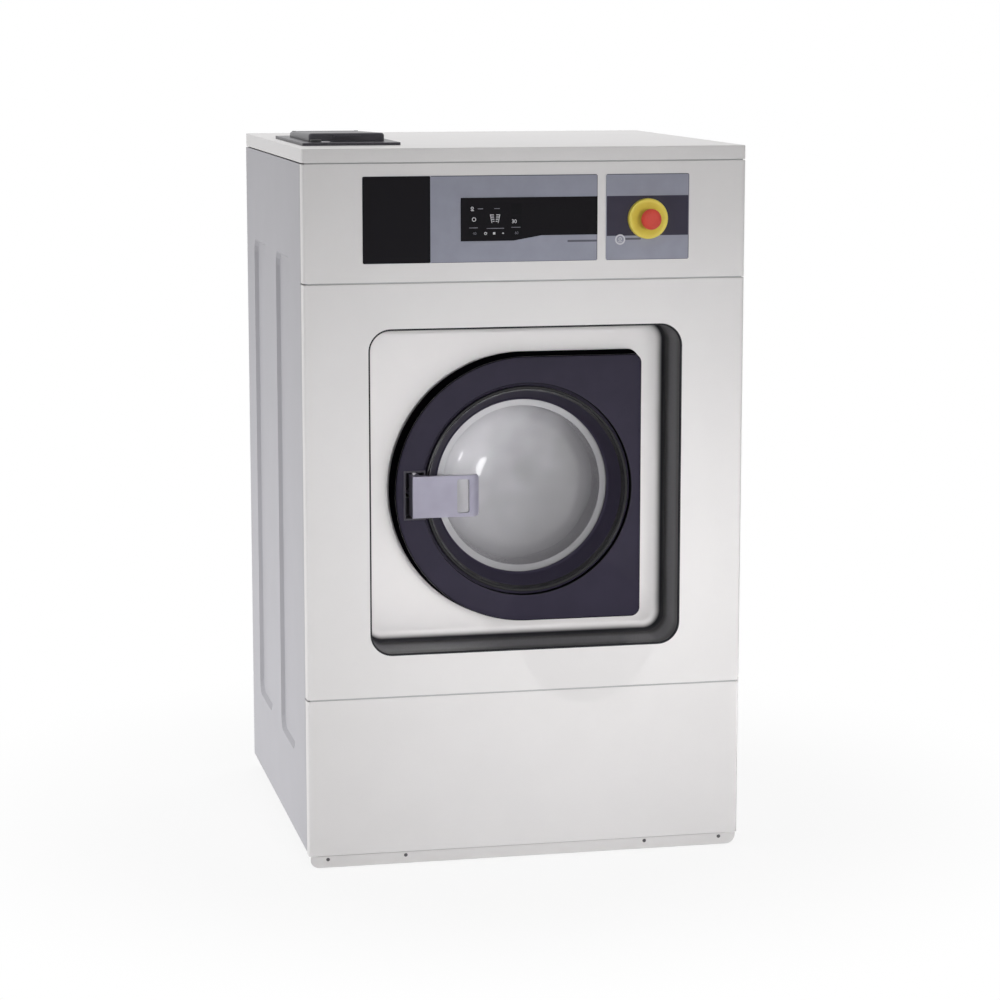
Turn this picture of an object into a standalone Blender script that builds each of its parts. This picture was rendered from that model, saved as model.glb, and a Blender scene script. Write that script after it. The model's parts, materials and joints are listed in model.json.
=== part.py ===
"""A front-loading washer-extractor with a rigid tub, as separate pieces in metres, +Z up.

Everything is drawn from the cabinet's front face (y = 0, +Y runs to the back), its middle (x = 0) and the
floor (z = 0). The machine's own empty then moves it, so that the origin is under the middle of its box.
"""

from math import acos, atan2, cos, pi, radians, sin, sqrt

import bmesh
import bpy
from mathutils import Matrix, Vector

# Cabinet
CABINET_WIDTH = 0.692
CABINET_HEIGHT = 1.115
SHEET = 0.0012
SEAM = 0.0020
FIT = 0.0003
OVERRUN = 0.004
PANEL_CORNER = 0.004
PANEL_WRAP = 0.021
TOP_SKIRT = 0.0211
TOP_EDGE = 0.0015
FASCIA_HEIGHT = 0.1788
KICK_BOTTOM = 0.0213
SIDE_BOTTOM = 0.024
SIDE_DEPTH = 0.016
REAR_GAP = 0.0226

# The middle facet of an edge that is rounded in two lies at this share of its radius
EDGE_SHARE = 0.3

# Long pressings in the side panels
RIB_SINK = 0.006
RIB_DRAFT = 0.005
RIB_CORNER = 0.020
RIB_WIDTH = 0.158
RIB_LENGTH = 0.787
RIB_BOTTOM = 0.155
FRONT_RIB_START = 0.141
RIB_PITCH = 0.267

# Base frame, side frames and tub cradles
BASE_SETBACK = 0.012
BASE_HEIGHT = 0.055
BASE_WALL = 0.003
BASE_FLANGE = 0.045
BASE_CORNER = 0.020
ANCHOR_RADIUS = 0.007
ANCHOR_INSET = 0.022
POST_WIDTH = 0.030
POST_DEPTH = 0.022
POST_WALL = 0.0025
RAIL_HEIGHT = 0.024
CRADLE_WALL = 0.006
CRADLE_FRONT_INSET = 0.038
CRADLE_REAR_INSET = 0.1371
CRADLE_CLEAR = 0.023
CRADLE_LEG = 0.105
CRADLE_BAND = 0.042
CRADLE_CORNER = 0.045
CRADLE_FACETS = 3

# Recess in the front panel
RECESS_SIDES = 0.0863
RECESS_OVER_DOOR = 0.04545
RECESS_UNDER_DOOR = 0.02885
RECESS_SILL = 0.0677
RECESS_HEAD = 0.0722
RECESS_DEPTH = 0.100
RECESS_CORNER = 0.032
RECESS_LIP = 0.003
RECESS_FILLET = 0.016
FLOOR_HOLE_CLEAR = 0.005

# Door: cover, bezel, glass and frame
DOOR_OFFSET = 0.012
COVER_RADIUS = 0.2135
COVER_REACH = 0.188
COVER_CORNER = 0.018
COVER_DEPTH = 0.038
COVER_STANDOFF = 0.012
COVER_DRAFT = 0.004
COVER_EDGE = 0.003
COVER_WALL = 0.003
COVER_HOLE = 0.1677
COVER_RIM = 0.012
COVER_BOSS = 0.0045
COVER_BOSSES = 6
BEZEL_GROOVE = 0.0032
BEZEL_LIP = 0.004
BEZEL_WALL = 0.003
BEZEL_FOOT = 0.0048
BEZEL_REACH = 0.0024
BEZEL_DEPTH = 0.0425
BEZEL_FLANGE = 0.0028
GLASS_SIGHT = 0.1376
GLASS_RADIUS = 0.1465
GLASS_WALL = 0.006
GLASS_BULGE = 0.0875
GLASS_THROAT = 0.1335
BOWL_SHARES = ((1.0, 0.06), (0.966, 0.45), (0.89, 0.737), (0.757, 0.909), (0.45, 0.983), (0.0, 1.0))
GASKET_WALL = 0.0032
GASKET_LEG = 0.0012
FRAME_WALL = 0.0027
FRAME_FLANGE = 0.182
FRAME_PLATE = 0.0057
FRAME_LIP = 0.0032
FRAME_TRIM = 0.0075

# Door hinge
HINGE_SETBACK = 0.020
HINGE_INSET = 0.0195
HINGE_PIN = 0.004
HINGE_PIN_HEAD = 0.0064
HINGE_KNUCKLE = 0.008
HINGE_RUN = 0.0004
HINGE_SPREAD = 0.118
LUG_HEIGHT = 0.014
ARM_HEIGHT = 0.014
ARM_GAP = 0.0005
BRACKET_PLATE = 0.002
BRACKET_WIDTH = 0.028
BRACKET_MARGIN = 0.010
NOTCH_CLEAR = 0.003

# Door handle, its housing, and the lock
HANDLE_LENGTH = 0.106
HANDLE_HEIGHT = 0.065
HANDLE_PROUD = 0.020
HANDLE_WALL = 0.008
HANDLE_DROP = 0.0035
HANDLE_START = 0.186
HANDLE_CURL = 0.010
CURL_SHARES = ((1.0, 0.0), (0.6, 0.1), (0.25, 0.42), (0.0, 1.0))
HANDLE_BAR = 0.0166
HANDLE_SLOT = 0.0194
HANDLE_SLOT_MARGIN = 0.006
HANDLE_NECK = 0.014
HANDLE_EDGE = 0.0012
HANDLE_PIN = 0.003
HANDLE_PIN_SINK = 0.008
HOUSING_WIDTH = 0.034
HOUSING_LEFT = 0.010
HOUSING_MARGIN = 0.006
HOUSING_DEPTH = 0.033
HOUSING_WALL = 0.0025
TONGUE_WIDTH = 0.012
TONGUE_WALL = 0.005
TONGUE_REACH = 0.066
TONGUE_SWING = 0.009
TONGUE_CLEAR = 0.003
LOCK_BOLT = 0.003
LOCK_BOLT_RUN = 0.0008
LOCK_BOLT_SETBACK = 0.008
LOCK_WIDTH = 0.056
LOCK_LEFT = 0.0325
LOCK_HEIGHT = 0.070
LOCK_DEPTH = 0.036
LOCK_WALL = 0.003
LOCK_MOUTH = 0.016

# Control overlays and display
OVERLAY = 0.0008
OVERLAY_TOP = 0.0189
OVERLAY_HEIGHT = 0.1316
OVERLAY_LEFT_START = -0.2546
OVERLAY_LEFT_WIDTH = 0.3645
OVERLAY_GAP = 0.0136
OVERLAY_RIGHT_WIDTH = 0.1317
OVERLAY_CORNER = 0.003
LENS_INSET = 0.1508
LENS_TOP = 0.0336
LENS_HEIGHT = 0.0658
LENS_STEP = 0.0075
LENS_STEP_START = 0.082
LENS_STEP_WIDTH = 0.044
LENS_PROUD = 0.0006
MODULE_DEPTH = 0.034
MODULE_MARGIN = 0.012

# Emergency stop
ESTOP_INSET = 0.0653
ESTOP_DROP = 0.0686
COLLAR_RADIUS = 0.031
COLLAR_HEIGHT = 0.009
COLLAR_RIM = 0.003
COLLAR_DISH = 0.004
ESTOP_BORE = 0.011
PLUNGER_RADIUS = 0.008
PLUNGER_LENGTH = 0.040
HEAD_RADIUS = 0.016
HEAD_HEIGHT = 0.013
HEAD_GAP = 0.0085
HEAD_WAIST = 0.011
HEAD_EDGE = 0.0019
HEAD_FLARE = 0.0033
HEAD_CROWN = 0.0058
HEAD_SOCKET = 0.007
BLOCK_SIDE = 0.040
BLOCK_DEPTH = 0.045
BLOCK_RELIEF = 0.007

# Soap hopper on the top cover
HOPPER_FROM_SIDE = 0.0945
HOPPER_FLANGE_WIDTH = 0.153
HOPPER_FLANGE_DEPTH = 0.310
HOPPER_FLANGE = 0.004
HOPPER_START = 0.110
HOPPER_WIDTH = 0.096
HOPPER_DEPTH = 0.210
HOPPER_SETBACK = 0.052
HOPPER_SINK = 0.140
HOPPER_WALL = 0.003
HOPPER_CELLS = 3
HOPPER_SLOT = 0.012
LID_WIDTH = 0.119
LID_DEPTH = 0.222
LID_HEIGHT = 0.013
LID_SLOPE = 0.005
LID_WALL = 0.0025
LID_EDGE = 0.004
LID_LIP = 0.004
LID_LIP_WIDTH = 0.0416
EAR_WIDTH = 0.006
EAR_RADIUS = 0.0045
LID_PIN = 0.002
SOAP_LOCK_RADIUS = 0.009
SOAP_LOCK_HEIGHT = 0.004
SOAP_LOCK_SETBACK = 0.028
SOAP_LOCK_SIDE = 0.052

# Tub
TUB_SIDE_GAP = 0.0385
TUB_WALL = 0.0015
TUB_PLATE = 0.0025
TUB_FLANGE = 0.0105
TUB_START = 0.150
TUB_LENGTH = 0.347
NECK_RADIUS = 0.146
NECK_WALL = 0.002
NECK_LENGTH = 0.0232
SEAL_LIP = 0.137
SEAL_WALL = 0.005
SEAL_FRONT = 0.1062
SEAL_GRIP = 0.015
TUB_BORE = 0.045

# Drum, spider, shaft and bearings
DRUM_GAP = 0.023
DRUM_FRONT_GAP = 0.016
DRUM_REAR_GAP = 0.0306
DRUM_WALL = 0.0012
DRUM_MOUTH = 0.152
DRUM_LIP = 0.006
DRUM_DISH = 0.016
LIFTER_COUNT = 3
LIFTER_HEIGHT = 0.055
LIFTER_TOP = radians(3.2)
LIFTER_FOOT_SHARE = 0.67
LIFTER_MARGIN = 0.006
SPIDER_WALL = 0.014
SPIDER_ARM = 0.050
SPIDER_INSET = 0.012
SPIDER_HUB = 0.044
SHAFT_RADIUS = 0.0197
SHAFT_RUN = 0.0005
HOUSING_FLANGE = 0.110
HOUSING_FLANGE_WALL = 0.0085
HOUSING_ROOT = 0.0616
HOUSING_BODY = 0.056
HOUSING_LENGTH = 0.0975
BEARING_RADIUS = 0.031
BEARING_WIDTH = 0.018
BEARING_SHOULDER = 0.004
SEAL_WIDTH = 0.0085
BEARING_PITCH = 0.060

# Belt drive and motor
PULLEY_RADIUS = 0.170
PULLEY_WIDTH = 0.028
PULLEY_RIM = 0.008
PULLEY_WEB = 0.006
PULLEY_HUB = 0.036
PULLEY_GAP = 0.009
PULLEY_HOLES = 5
PULLEY_HOLE = 0.036
BELT_WALL = 0.004
BELT_WIDTH = 0.020
DRIVE_RATIO = 5.0
MOTOR_X = 0.150
MOTOR_Z = 0.150
MOTOR_RADIUS = 0.074
MOTOR_FIN = 0.006
MOTOR_FINS = 10
MOTOR_CAP = 0.020
MOTOR_SHIELD = 0.0718
MOTOR_LENGTH = 0.195
MOTOR_SHAFT = 0.012
MOTOR_SHAFT_SINK = 0.050
MOTOR_GAP = 0.018
MOTOR_FOOT = 0.040
MOTOR_FOOT_DROP = 0.0444
MOTOR_FOOT_SPREAD = 0.110
MOTOR_PLATE = 0.006
MOTOR_PLATE_WIDTH = 0.180
PULLEY_FLANGE = 0.004

# Drain
DRAIN_FROM_CRADLE = 0.073
DRAIN_LIFT = 0.010
DRAIN_BORE = 0.030
DRAIN_WALL = 0.004
VALVE_SADDLE = 0.008
VALVE_HEIGHT = 0.050
VALVE_WALL = 0.009
DISC_WALL = 0.003
DISC_CLEAR = 0.0008
SPINDLE = 0.003
ACTUATOR_WIDTH = 0.050
ACTUATOR_DEPTH = 0.044
ACTUATOR_HEIGHT = 0.040
ACTUATOR_SINK = 0.012
DRAIN_BEND = 0.050
REAR_REACH = 0.045

# Water inlets, filling hose, electrical box and cable gland
INLET_RADIUS = 0.013
INLET_REACH = 0.030
INLET_PITCH = 0.060
INLET_FROM_SIDE = 0.095
INLET_FROM_TOP = 0.070
INLET_BORE = 0.009
INLET_BODY = 0.036
INLET_INSIDE = 0.060
HOSE_RADIUS = 0.016
HOSE_BORE = 0.012
HOSE_EASE = 0.070
HOSE_STEPS = 5
HOSE_MEET_FACETS = 2.5
BOX_WIDTH = 0.220
BOX_DEPTH = 0.150
BOX_HEIGHT = 0.170
BOX_FROM_SIDE = 0.060
BOX_FROM_TOP = 0.045
GLAND_RADIUS = 0.016
GLAND_BORE = 0.008
GLAND_REACH = 0.022
GLAND_NUT = 0.010
GLAND_TAPER = 0.002
GLAND_NECK = 0.0128
GLAND_TIP = 0.0112
VENT_COUNT = 5
VENT_LENGTH = 0.100
VENT_HEIGHT = 0.008
VENT_PITCH = 0.020
VENT_FROM_TOP = 0.240
BACK_HOLE_CLEAR = 0.001

# Steps of round forms
ROUND = 24
DOOR_ROUND = 28
KNOB_ROUND = 20
SMALL_ROUND = 16
PIPE_ROUND = 12
PIN_ROUND = 10
BOSS_ROUND = 8
CORNER_STEPS = 3
RECESS_STEPS = 5
FILLET_STEPS = 3
COVER_ARC_STEPS = 24
COVER_SIDE_STEPS = 7
COVER_EDGE_STEPS = 3
SMOOTH_ANGLE = radians(38)

# Levels and places worked out from the values above
COVER_BOTTOM_Z = CABINET_HEIGHT - TOP_SKIRT
FASCIA_TOP_Z = COVER_BOTTOM_Z - SEAM
FASCIA_BOTTOM_Z = FASCIA_TOP_Z - FASCIA_HEIGHT
FRONT_TOP_Z = FASCIA_BOTTOM_Z - SEAM
HALF_WIDTH = CABINET_WIDTH / 2
BASE_WIDTH = CABINET_WIDTH - 2 * SIDE_DEPTH
RECESS_WIDTH = COVER_RADIUS + COVER_REACH + RECESS_SIDES
RECESS_HEIGHT = RECESS_OVER_DOOR + 2 * COVER_RADIUS + RECESS_UNDER_DOOR
RECESS_BOTTOM_Z = FRONT_TOP_Z - RECESS_HEAD - RECESS_HEIGHT
FRONT_BOTTOM_Z = RECESS_BOTTOM_Z - RECESS_SILL
KICK_TOP_Z = FRONT_BOTTOM_Z - SEAM
DOOR_X = DOOR_OFFSET
DOOR_Z = RECESS_BOTTOM_Z + RECESS_UNDER_DOOR + COVER_RADIUS
COVER_BACK_Y = RECESS_DEPTH - COVER_STANDOFF
COVER_FRONT_Y = COVER_BACK_Y - COVER_DEPTH
GLASS_Y = COVER_FRONT_Y + BEZEL_DEPTH + GASKET_LEG + 2 * FIT
HINGE_X = DOOR_X + COVER_REACH - HINGE_INSET
HINGE_Y = COVER_FRONT_Y + HINGE_SETBACK
HANDLE_LEFT_X = DOOR_X - HANDLE_START
HANDLE_Z = DOOR_Z - HANDLE_DROP
HANDLE_PIN_X = HANDLE_LEFT_X + HANDLE_NECK / 2
HANDLE_PIN_Y = COVER_FRONT_Y + HANDLE_PIN_SINK
TONGUE_END_Y = HANDLE_PIN_Y + TONGUE_REACH
LOCK_BOLT_Y = TONGUE_END_Y - LOCK_BOLT_SETBACK
OVERLAY_LEFT_END = OVERLAY_LEFT_START + OVERLAY_LEFT_WIDTH
OVERLAY_RIGHT_START = OVERLAY_LEFT_END + OVERLAY_GAP
ESTOP_X = OVERLAY_RIGHT_START + ESTOP_INSET
ESTOP_Z = FASCIA_TOP_Z - OVERLAY_TOP - ESTOP_DROP
OVERLAY_FRONT_Y = -FIT - OVERLAY
COLLAR_BACK_Y = OVERLAY_FRONT_Y - FIT
COLLAR_FRONT_Y = COLLAR_BACK_Y - COLLAR_HEIGHT
HEAD_BACK_Y = COLLAR_FRONT_Y - HEAD_GAP
HEAD_FRONT_Y = HEAD_BACK_Y - HEAD_HEIGHT
TUB_RADIUS = HALF_WIDTH - DOOR_OFFSET - TUB_FLANGE - TUB_SIDE_GAP
TUB_OUTER = TUB_RADIUS + TUB_WALL
TUB_BACK_Y = TUB_START + TUB_PLATE + FIT + TUB_LENGTH + FIT
HOUSING_Y = TUB_BACK_Y + TUB_PLATE + FIT
CRADLE_FRONT_Y = TUB_START + CRADLE_FRONT_INSET
CRADLE_REAR_Y = TUB_BACK_Y - CRADLE_REAR_INSET
DRUM_RADIUS = TUB_RADIUS - DRUM_GAP
DRUM_START = TUB_START + DRUM_FRONT_GAP
DRUM_BACK_Y = TUB_BACK_Y - DRUM_REAR_GAP
SPIDER_Y = DRUM_BACK_Y + DRUM_WALL + FIT
PULLEY_Y = HOUSING_Y + HOUSING_LENGTH + PULLEY_GAP
PULLEY_MIDDLE_Y = PULLEY_Y + PULLEY_WIDTH / 2
CABINET_DEPTH = PULLEY_Y + PULLEY_WIDTH + REAR_GAP
BACK_FACE_Y = CABINET_DEPTH - SHEET
MOTOR_PULLEY_RADIUS = PULLEY_RADIUS / DRIVE_RATIO
MOTOR_BACK_Y = PULLEY_Y - MOTOR_GAP
DRAIN_Y = CRADLE_REAR_Y - DRAIN_FROM_CRADLE
DRAIN_PIPE_Z = BASE_HEIGHT + DRAIN_LIFT + DRAIN_BORE + DRAIN_WALL
VALVE_BOTTOM_Z = DRAIN_PIPE_Z + DRAIN_BEND + 2 * DRAIN_WALL + FIT
VALVE_MIDDLE_Z = VALVE_BOTTOM_Z + VALVE_HEIGHT / 2
VALVE_BODY_TOP_Z = VALVE_BOTTOM_Z + VALVE_HEIGHT
VALVE_TOP_Z = DOOR_Z - TUB_OUTER - FIT
FLANGE_TOP_Z = CABINET_HEIGHT + FIT + HOPPER_FLANGE
HOPPER_X = HOPPER_FROM_SIDE - HALF_WIDTH
HOPPER_Y = HOPPER_START + HOPPER_SETBACK
REAR_Y = CABINET_DEPTH + REAR_REACH

FINISHES = {
    "panel_steel": ((0.76, 0.76, 0.76), 0.38, 0.9),
    "side_steel": ((0.42, 0.41, 0.44), 0.45, 0.7),
    "frame_steel": ((0.50, 0.50, 0.51), 0.55, 0.6),
    "stainless": ((0.72, 0.72, 0.73), 0.25, 1.0),
    "black_plastic": ((0.030, 0.026, 0.042), 0.30, 0.0),
    "dark_plastic": ((0.020, 0.019, 0.024), 0.45, 0.0),
    "handle_grey": ((0.34, 0.32, 0.41), 0.40, 0.2),
    "overlay_grey": ((0.23, 0.24, 0.29), 0.45, 0.0),
    "signal_yellow": ((0.87, 0.74, 0.15), 0.35, 0.0),
    "signal_red": ((0.55, 0.06, 0.04), 0.35, 0.0),
    "rubber": ((0.020, 0.020, 0.022), 0.80, 0.0),
    "clear_glass": ((0.80, 0.84, 0.84), 0.05, 0.0),
    "cast_metal": ((0.55, 0.55, 0.56), 0.50, 0.9),
    "grey_plastic": ((0.30, 0.30, 0.31), 0.50, 0.0),
    "brass": ((0.62, 0.45, 0.18), 0.35, 1.0),
}


def finish(name):
    """The material of that name, made once from its colour, roughness and metallic value."""
    known = bpy.data.materials.get(name)
    if known:
        return known
    colour, roughness, metallic = FINISHES[name]
    made = bpy.data.materials.new(name)
    made.use_nodes = True
    shader = made.node_tree.nodes["Principled BSDF"]
    shader.inputs["Base Color"].default_value = (*colour, 1.0)
    shader.inputs["Roughness"].default_value = roughness
    shader.inputs["Metallic"].default_value = metallic
    return made


def carrier(name, place, parent=None):
    """An empty on a joint's axis. What it carries is drawn in the machine's own frame."""
    empty = bpy.data.objects.new(name, None)
    bpy.context.scene.collection.objects.link(empty)
    empty["place"] = place
    if parent:
        empty.parent = parent
        empty.location = Vector(place) - Vector(parent["place"])
    return empty


def piece(name, look, shape, parent):
    """A named solid of the machine from a bmesh drawn in the machine's frame."""
    bmesh.ops.recalc_face_normals(shape, faces=shape.faces)
    mesh = bpy.data.meshes.new(name)
    shape.to_mesh(mesh)
    shape.free()
    mesh.shade_smooth()
    mesh.set_sharp_from_angle(angle=SMOOTH_ANGLE)
    mesh.materials.append(finish(look))
    solid = bpy.data.objects.new(name, mesh)
    bpy.context.scene.collection.objects.link(solid)
    solid.parent = parent
    solid.matrix_parent_inverse = Matrix.Translation(-Vector(parent["place"]))
    return solid


def tool(solid, shape, operation):
    """Cuts the shape from the solid, or joins it to the solid, by a Boolean on a hidden helper."""
    name = f"{solid.name}_{operation.lower()}_{len(solid.modifiers)}"
    helper = piece(name, "frame_steel", shape, solid.parent)
    helper.hide_render = True
    helper.display_type = "WIRE"
    boolean = solid.modifiers.new(operation.capitalize(), "BOOLEAN")
    boolean.operation = operation
    boolean.object = helper


def cut(solid, *shapes):
    for shape in shapes:
        tool(solid, shape, "DIFFERENCE")


def join(solid, *shapes):
    for shape in shapes:
        tool(solid, shape, "UNION")


def merge(*shapes):
    """One bmesh that holds several separate bodies."""
    whole = bmesh.new()
    for shape in shapes:
        mesh = bpy.data.meshes.new("part_of_a_group")
        shape.to_mesh(mesh)
        shape.free()
        whole.from_mesh(mesh)
        bpy.data.meshes.remove(mesh)
    return whole


def lofted(loops, ring=False):
    """Skins a run of loops with as many points each. Its ends are capped, or joined where it is a ring."""
    shape = bmesh.new()
    rows = [[shape.verts.new(point) for point in loop] for loop in loops]
    pairs = list(zip(rows, rows[1:]))
    if ring:
        pairs.append((rows[-1], rows[0]))
    else:
        shape.faces.new(reversed(rows[0]))
        shape.faces.new(rows[-1])
    for lower, upper in pairs:
        for here in range(len(lower)):
            after = (here + 1) % len(lower)
            shape.faces.new((lower[here], lower[after], upper[after], upper[here]))
    return shape


def placed(outline, axis, level):
    """Points of a flat outline, set at a level on the axis that it is square to."""
    if axis == "x":
        return [(level, u, v) for u, v in outline]
    if axis == "y":
        return [(u, level, v) for u, v in outline]
    return [(u, v, level) for u, v in outline]


def prism(outline, axis, low, high):
    return lofted([placed(outline, axis, low), placed(outline, axis, high)])


def block(low, high):
    outline = [(low[0], low[1]), (high[0], low[1]), (high[0], high[1]), (low[0], high[1])]
    return prism(outline, "z", low[2], high[2])


def arc(centre, radius, start, end, steps):
    """Points along an arc, both ends included."""
    angles = [start + (end - start) * step / steps for step in range(steps + 1)]
    return [(centre[0] + radius * cos(a), centre[1] + radius * sin(a)) for a in angles]


def circle(centre, radius, steps):
    return arc(centre, radius, 0, 2 * pi, steps)[:-1]


def rounded(low_u, high_u, low_v, high_v, radius, steps=CORNER_STEPS):
    """A rectangle with round corners, drawn anticlockwise."""
    inner_u = (low_u + radius, high_u - radius)
    inner_v = (low_v + radius, high_v - radius)
    points = arc((inner_u[1], inner_v[0]), radius, -pi / 2, 0, steps)
    points += arc((inner_u[1], inner_v[1]), radius, 0, pi / 2, steps)
    points += arc((inner_u[0], inner_v[1]), radius, pi / 2, pi, steps)
    points += arc((inner_u[0], inner_v[0]), radius, pi, 3 * pi / 2, steps)
    return points


def turned(profile, centre, axis, steps=ROUND):
    """Turns a closed profile of (radius, level) points about an axis through the centre."""
    shape = bmesh.new()
    rows = []
    for radius, level in profile:
        if radius:
            outline = circle(centre, radius, steps)
            rows.append([shape.verts.new(point) for point in placed(outline, axis, level)])
        else:
            rows.append([shape.verts.new(placed([centre], axis, level)[0])])
    for row, other in zip(rows, rows[1:] + rows[:1]):
        for here in range(steps):
            after = (here + 1) % steps
            corners = [row[here % len(row)], row[after % len(row)]]
            corners += [other[after % len(other)], other[here % len(other)]]
            corners = list(dict.fromkeys(corners))
            if len(corners) > 2:
                shape.faces.new(corners)
    return shape


def disc(centre, axis, radius, low, high, steps=SMALL_ROUND):
    return prism(circle(centre, radius, steps), axis, low, high)


def pipe(path, radius, steps=PIN_ROUND):
    """A round tube along a path, whose rings lean half way at each bend."""
    points = [Vector(point) for point in path]
    loops = []
    side = None
    for here, point in enumerate(points):
        before = points[max(here - 1, 0)]
        after = points[min(here + 1, len(points) - 1)]
        along = (after - before).normalized()
        if side is None:
            side = along.orthogonal().normalized()
        side = (side - along * side.dot(along)).normalized()
        up = along.cross(side)
        loops.append([tuple(point + side * u + up * v) for u, v in circle((0, 0), radius, steps)])
    return lofted(loops)


def curve(start, first, second, end, steps):
    """Points of a cubic curve, without its two ends."""
    points = []
    for step in range(1, steps):
        t = step / steps
        s = 1 - t
        points.append(start * s**3 + first * (3 * s * s * t) + second * (3 * s * t * t) + end * t**3)
    return points


def bend(corner, start, end, radius, steps=CORNER_STEPS):
    """Points of a round bend at a corner between two straight runs along unit directions."""
    middle = Vector(corner) - Vector(start) * radius + Vector(end) * radius
    points = []
    for step in range(steps + 1):
        turn = pi / 2 * step / steps
        points.append(tuple(middle + Vector(start) * radius * sin(turn) - Vector(end) * radius * cos(turn)))
    return points


def tray_outline(half, front, back, corner):
    """The plan of a front panel: round front corners and returns that run back along the sides."""
    points = arc((-half + corner, front + corner), corner, pi, 3 * pi / 2, CORNER_STEPS)
    points += arc((half - corner, front + corner), corner, 3 * pi / 2, 2 * pi, CORNER_STEPS)
    return points + [(half, back), (-half, back)]


def folded_panel(name, bottom, top, machine, floor=True):
    """A front panel folded from sheet, with returns at its sides and flanges at its top and bottom."""
    outside = tray_outline(HALF_WIDTH, 0, PANEL_WRAP, PANEL_CORNER)
    panel = piece(name, "panel_steel", prism(outside, "z", bottom, top), machine)
    inside = tray_outline(HALF_WIDTH - SHEET, SHEET, PANEL_WRAP + OVERRUN, PANEL_CORNER - SHEET)
    low = bottom + SHEET if floor else bottom - OVERRUN
    cut(panel, prism(inside, "z", low, top - SHEET))
    return panel


def base_outline(half, low, high, corner):
    """The section across the base frame, with round lower corners."""
    points = arc((-half + corner, low + corner), corner, pi, 3 * pi / 2, CORNER_STEPS)
    points += arc((half - corner, low + corner), corner, 3 * pi / 2, 2 * pi, CORNER_STEPS)
    return points + [(half, high), (-half, high)]


def cradle_places():
    return CRADLE_FRONT_Y, CRADLE_REAR_Y


def base_frame(machine):
    """A welded ring of channels with two cross-members, whose webs stand under the tub cradles."""
    half = BASE_WIDTH / 2
    front, back = BASE_SETBACK, BACK_FACE_Y - FIT
    section = base_outline(half, 0, BASE_HEIGHT, BASE_CORNER)
    frame = piece("base_frame", "frame_steel", prism(section, "y", front, back), machine)
    webs = [front + BASE_WALL / 2]
    webs += [place + CRADLE_WALL / 2 for place in cradle_places()]
    webs.append(back - BASE_WALL / 2)
    hollow = base_outline(half - BASE_WALL, BASE_WALL, BASE_HEIGHT - BASE_WALL, BASE_CORNER - BASE_WALL)
    inner = half - BASE_FLANGE
    bays = []
    for number, (low, high) in enumerate(zip(webs, webs[1:])):
        cut(frame, prism(hollow, "y", low + BASE_WALL / 2, high - BASE_WALL / 2))
        low += (BASE_FLANGE - BASE_WALL / 2) if number == 0 else BASE_FLANGE / 2
        high -= (BASE_FLANGE - BASE_WALL / 2) if number == len(webs) - 2 else BASE_FLANGE / 2
        bays.append(block((-inner, low, -OVERRUN), (inner, high, BASE_HEIGHT + OVERRUN)))
    anchors = []
    anchor_x = half - BASE_CORNER / 2 - ANCHOR_INSET
    for x in (-anchor_x, anchor_x):
        for y in (front + ANCHOR_INSET, back - ANCHOR_INSET):
            anchors.append(disc((x, y), "z", ANCHOR_RADIUS, -OVERRUN, BASE_HEIGHT + OVERRUN, PIN_ROUND))
    cut(frame, merge(*bays), merge(*anchors))


def side_frame(name, side, machine):
    """Two posts and the rail on them, folded as one channel that is open towards the tub."""
    low, high = BASE_HEIGHT + FIT, CABINET_HEIGHT - SHEET - FIT
    front, back = PANEL_WRAP + FIT, BACK_FACE_Y - FIT

    def portal(inset, foot):
        return [
            (front + inset, foot),
            (front + POST_WIDTH - inset, foot),
            (front + POST_WIDTH - inset, high - RAIL_HEIGHT + inset),
            (back - POST_WIDTH + inset, high - RAIL_HEIGHT + inset),
            (back - POST_WIDTH + inset, foot),
            (back - inset, foot),
            (back - inset, high - inset),
            (front + inset, high - inset),
        ]

    outer = BASE_WIDTH / 2 - BASE_WALL
    inner = outer - POST_DEPTH
    frame = piece(name, "frame_steel", prism(portal(0, low), "x", side * inner, side * outer), machine)
    groove = portal(POST_WALL, low - OVERRUN)
    cut(frame, prism(groove, "x", side * (inner - OVERRUN), side * (outer - POST_WALL)))


def cradle(name, place, machine):
    """An arched plate on a cross-member, with a saddle that the tub shell lies in."""
    low = BASE_HEIGHT + FIT
    top = DOOR_Z - TUB_OUTER - FIT - CRADLE_BAND
    foot = BASE_WIDTH / 2 - BASE_WALL - POST_DEPTH - DOOR_OFFSET - CRADLE_CLEAR
    left, right = DOOR_X - foot + CRADLE_LEG, DOOR_X + foot - CRADLE_LEG
    corner = CRADLE_CORNER
    half_angle = CRADLE_FACETS * 2 * pi / ROUND
    outline = [(DOOR_X - foot, low), (left, low)]
    outline += arc((left + corner, top - corner), corner, pi, pi / 2, CORNER_STEPS)
    outline += arc((right - corner, top - corner), corner, pi / 2, 0, CORNER_STEPS)
    outline += [(right, low), (DOOR_X + foot, low)]
    outline += arc(
        (DOOR_X, DOOR_Z), TUB_OUTER + FIT, -pi / 2 + half_angle, -pi / 2 - half_angle, 2 * CRADLE_FACETS
    )
    piece(name, "frame_steel", prism(outline, "y", place, place + CRADLE_WALL), machine)


def rib(side, start, wall):
    """A long pressing of a side panel: its hollow or, with a wall, the form that backs it."""
    def outline(inset):
        return rounded(
            start - wall + inset,
            start + RIB_WIDTH + wall - inset,
            RIB_BOTTOM - wall + inset,
            RIB_BOTTOM + RIB_LENGTH + wall - inset,
            RIB_CORNER,
        )

    levels = [(SHEET / 2, 0)] if wall else [(-OVERRUN, 0), (0, 0)]
    levels.append((RIB_SINK + wall, RIB_DRAFT))
    return lofted([placed(outline(inset), "x", side * (HALF_WIDTH - level)) for level, inset in levels])


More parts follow.
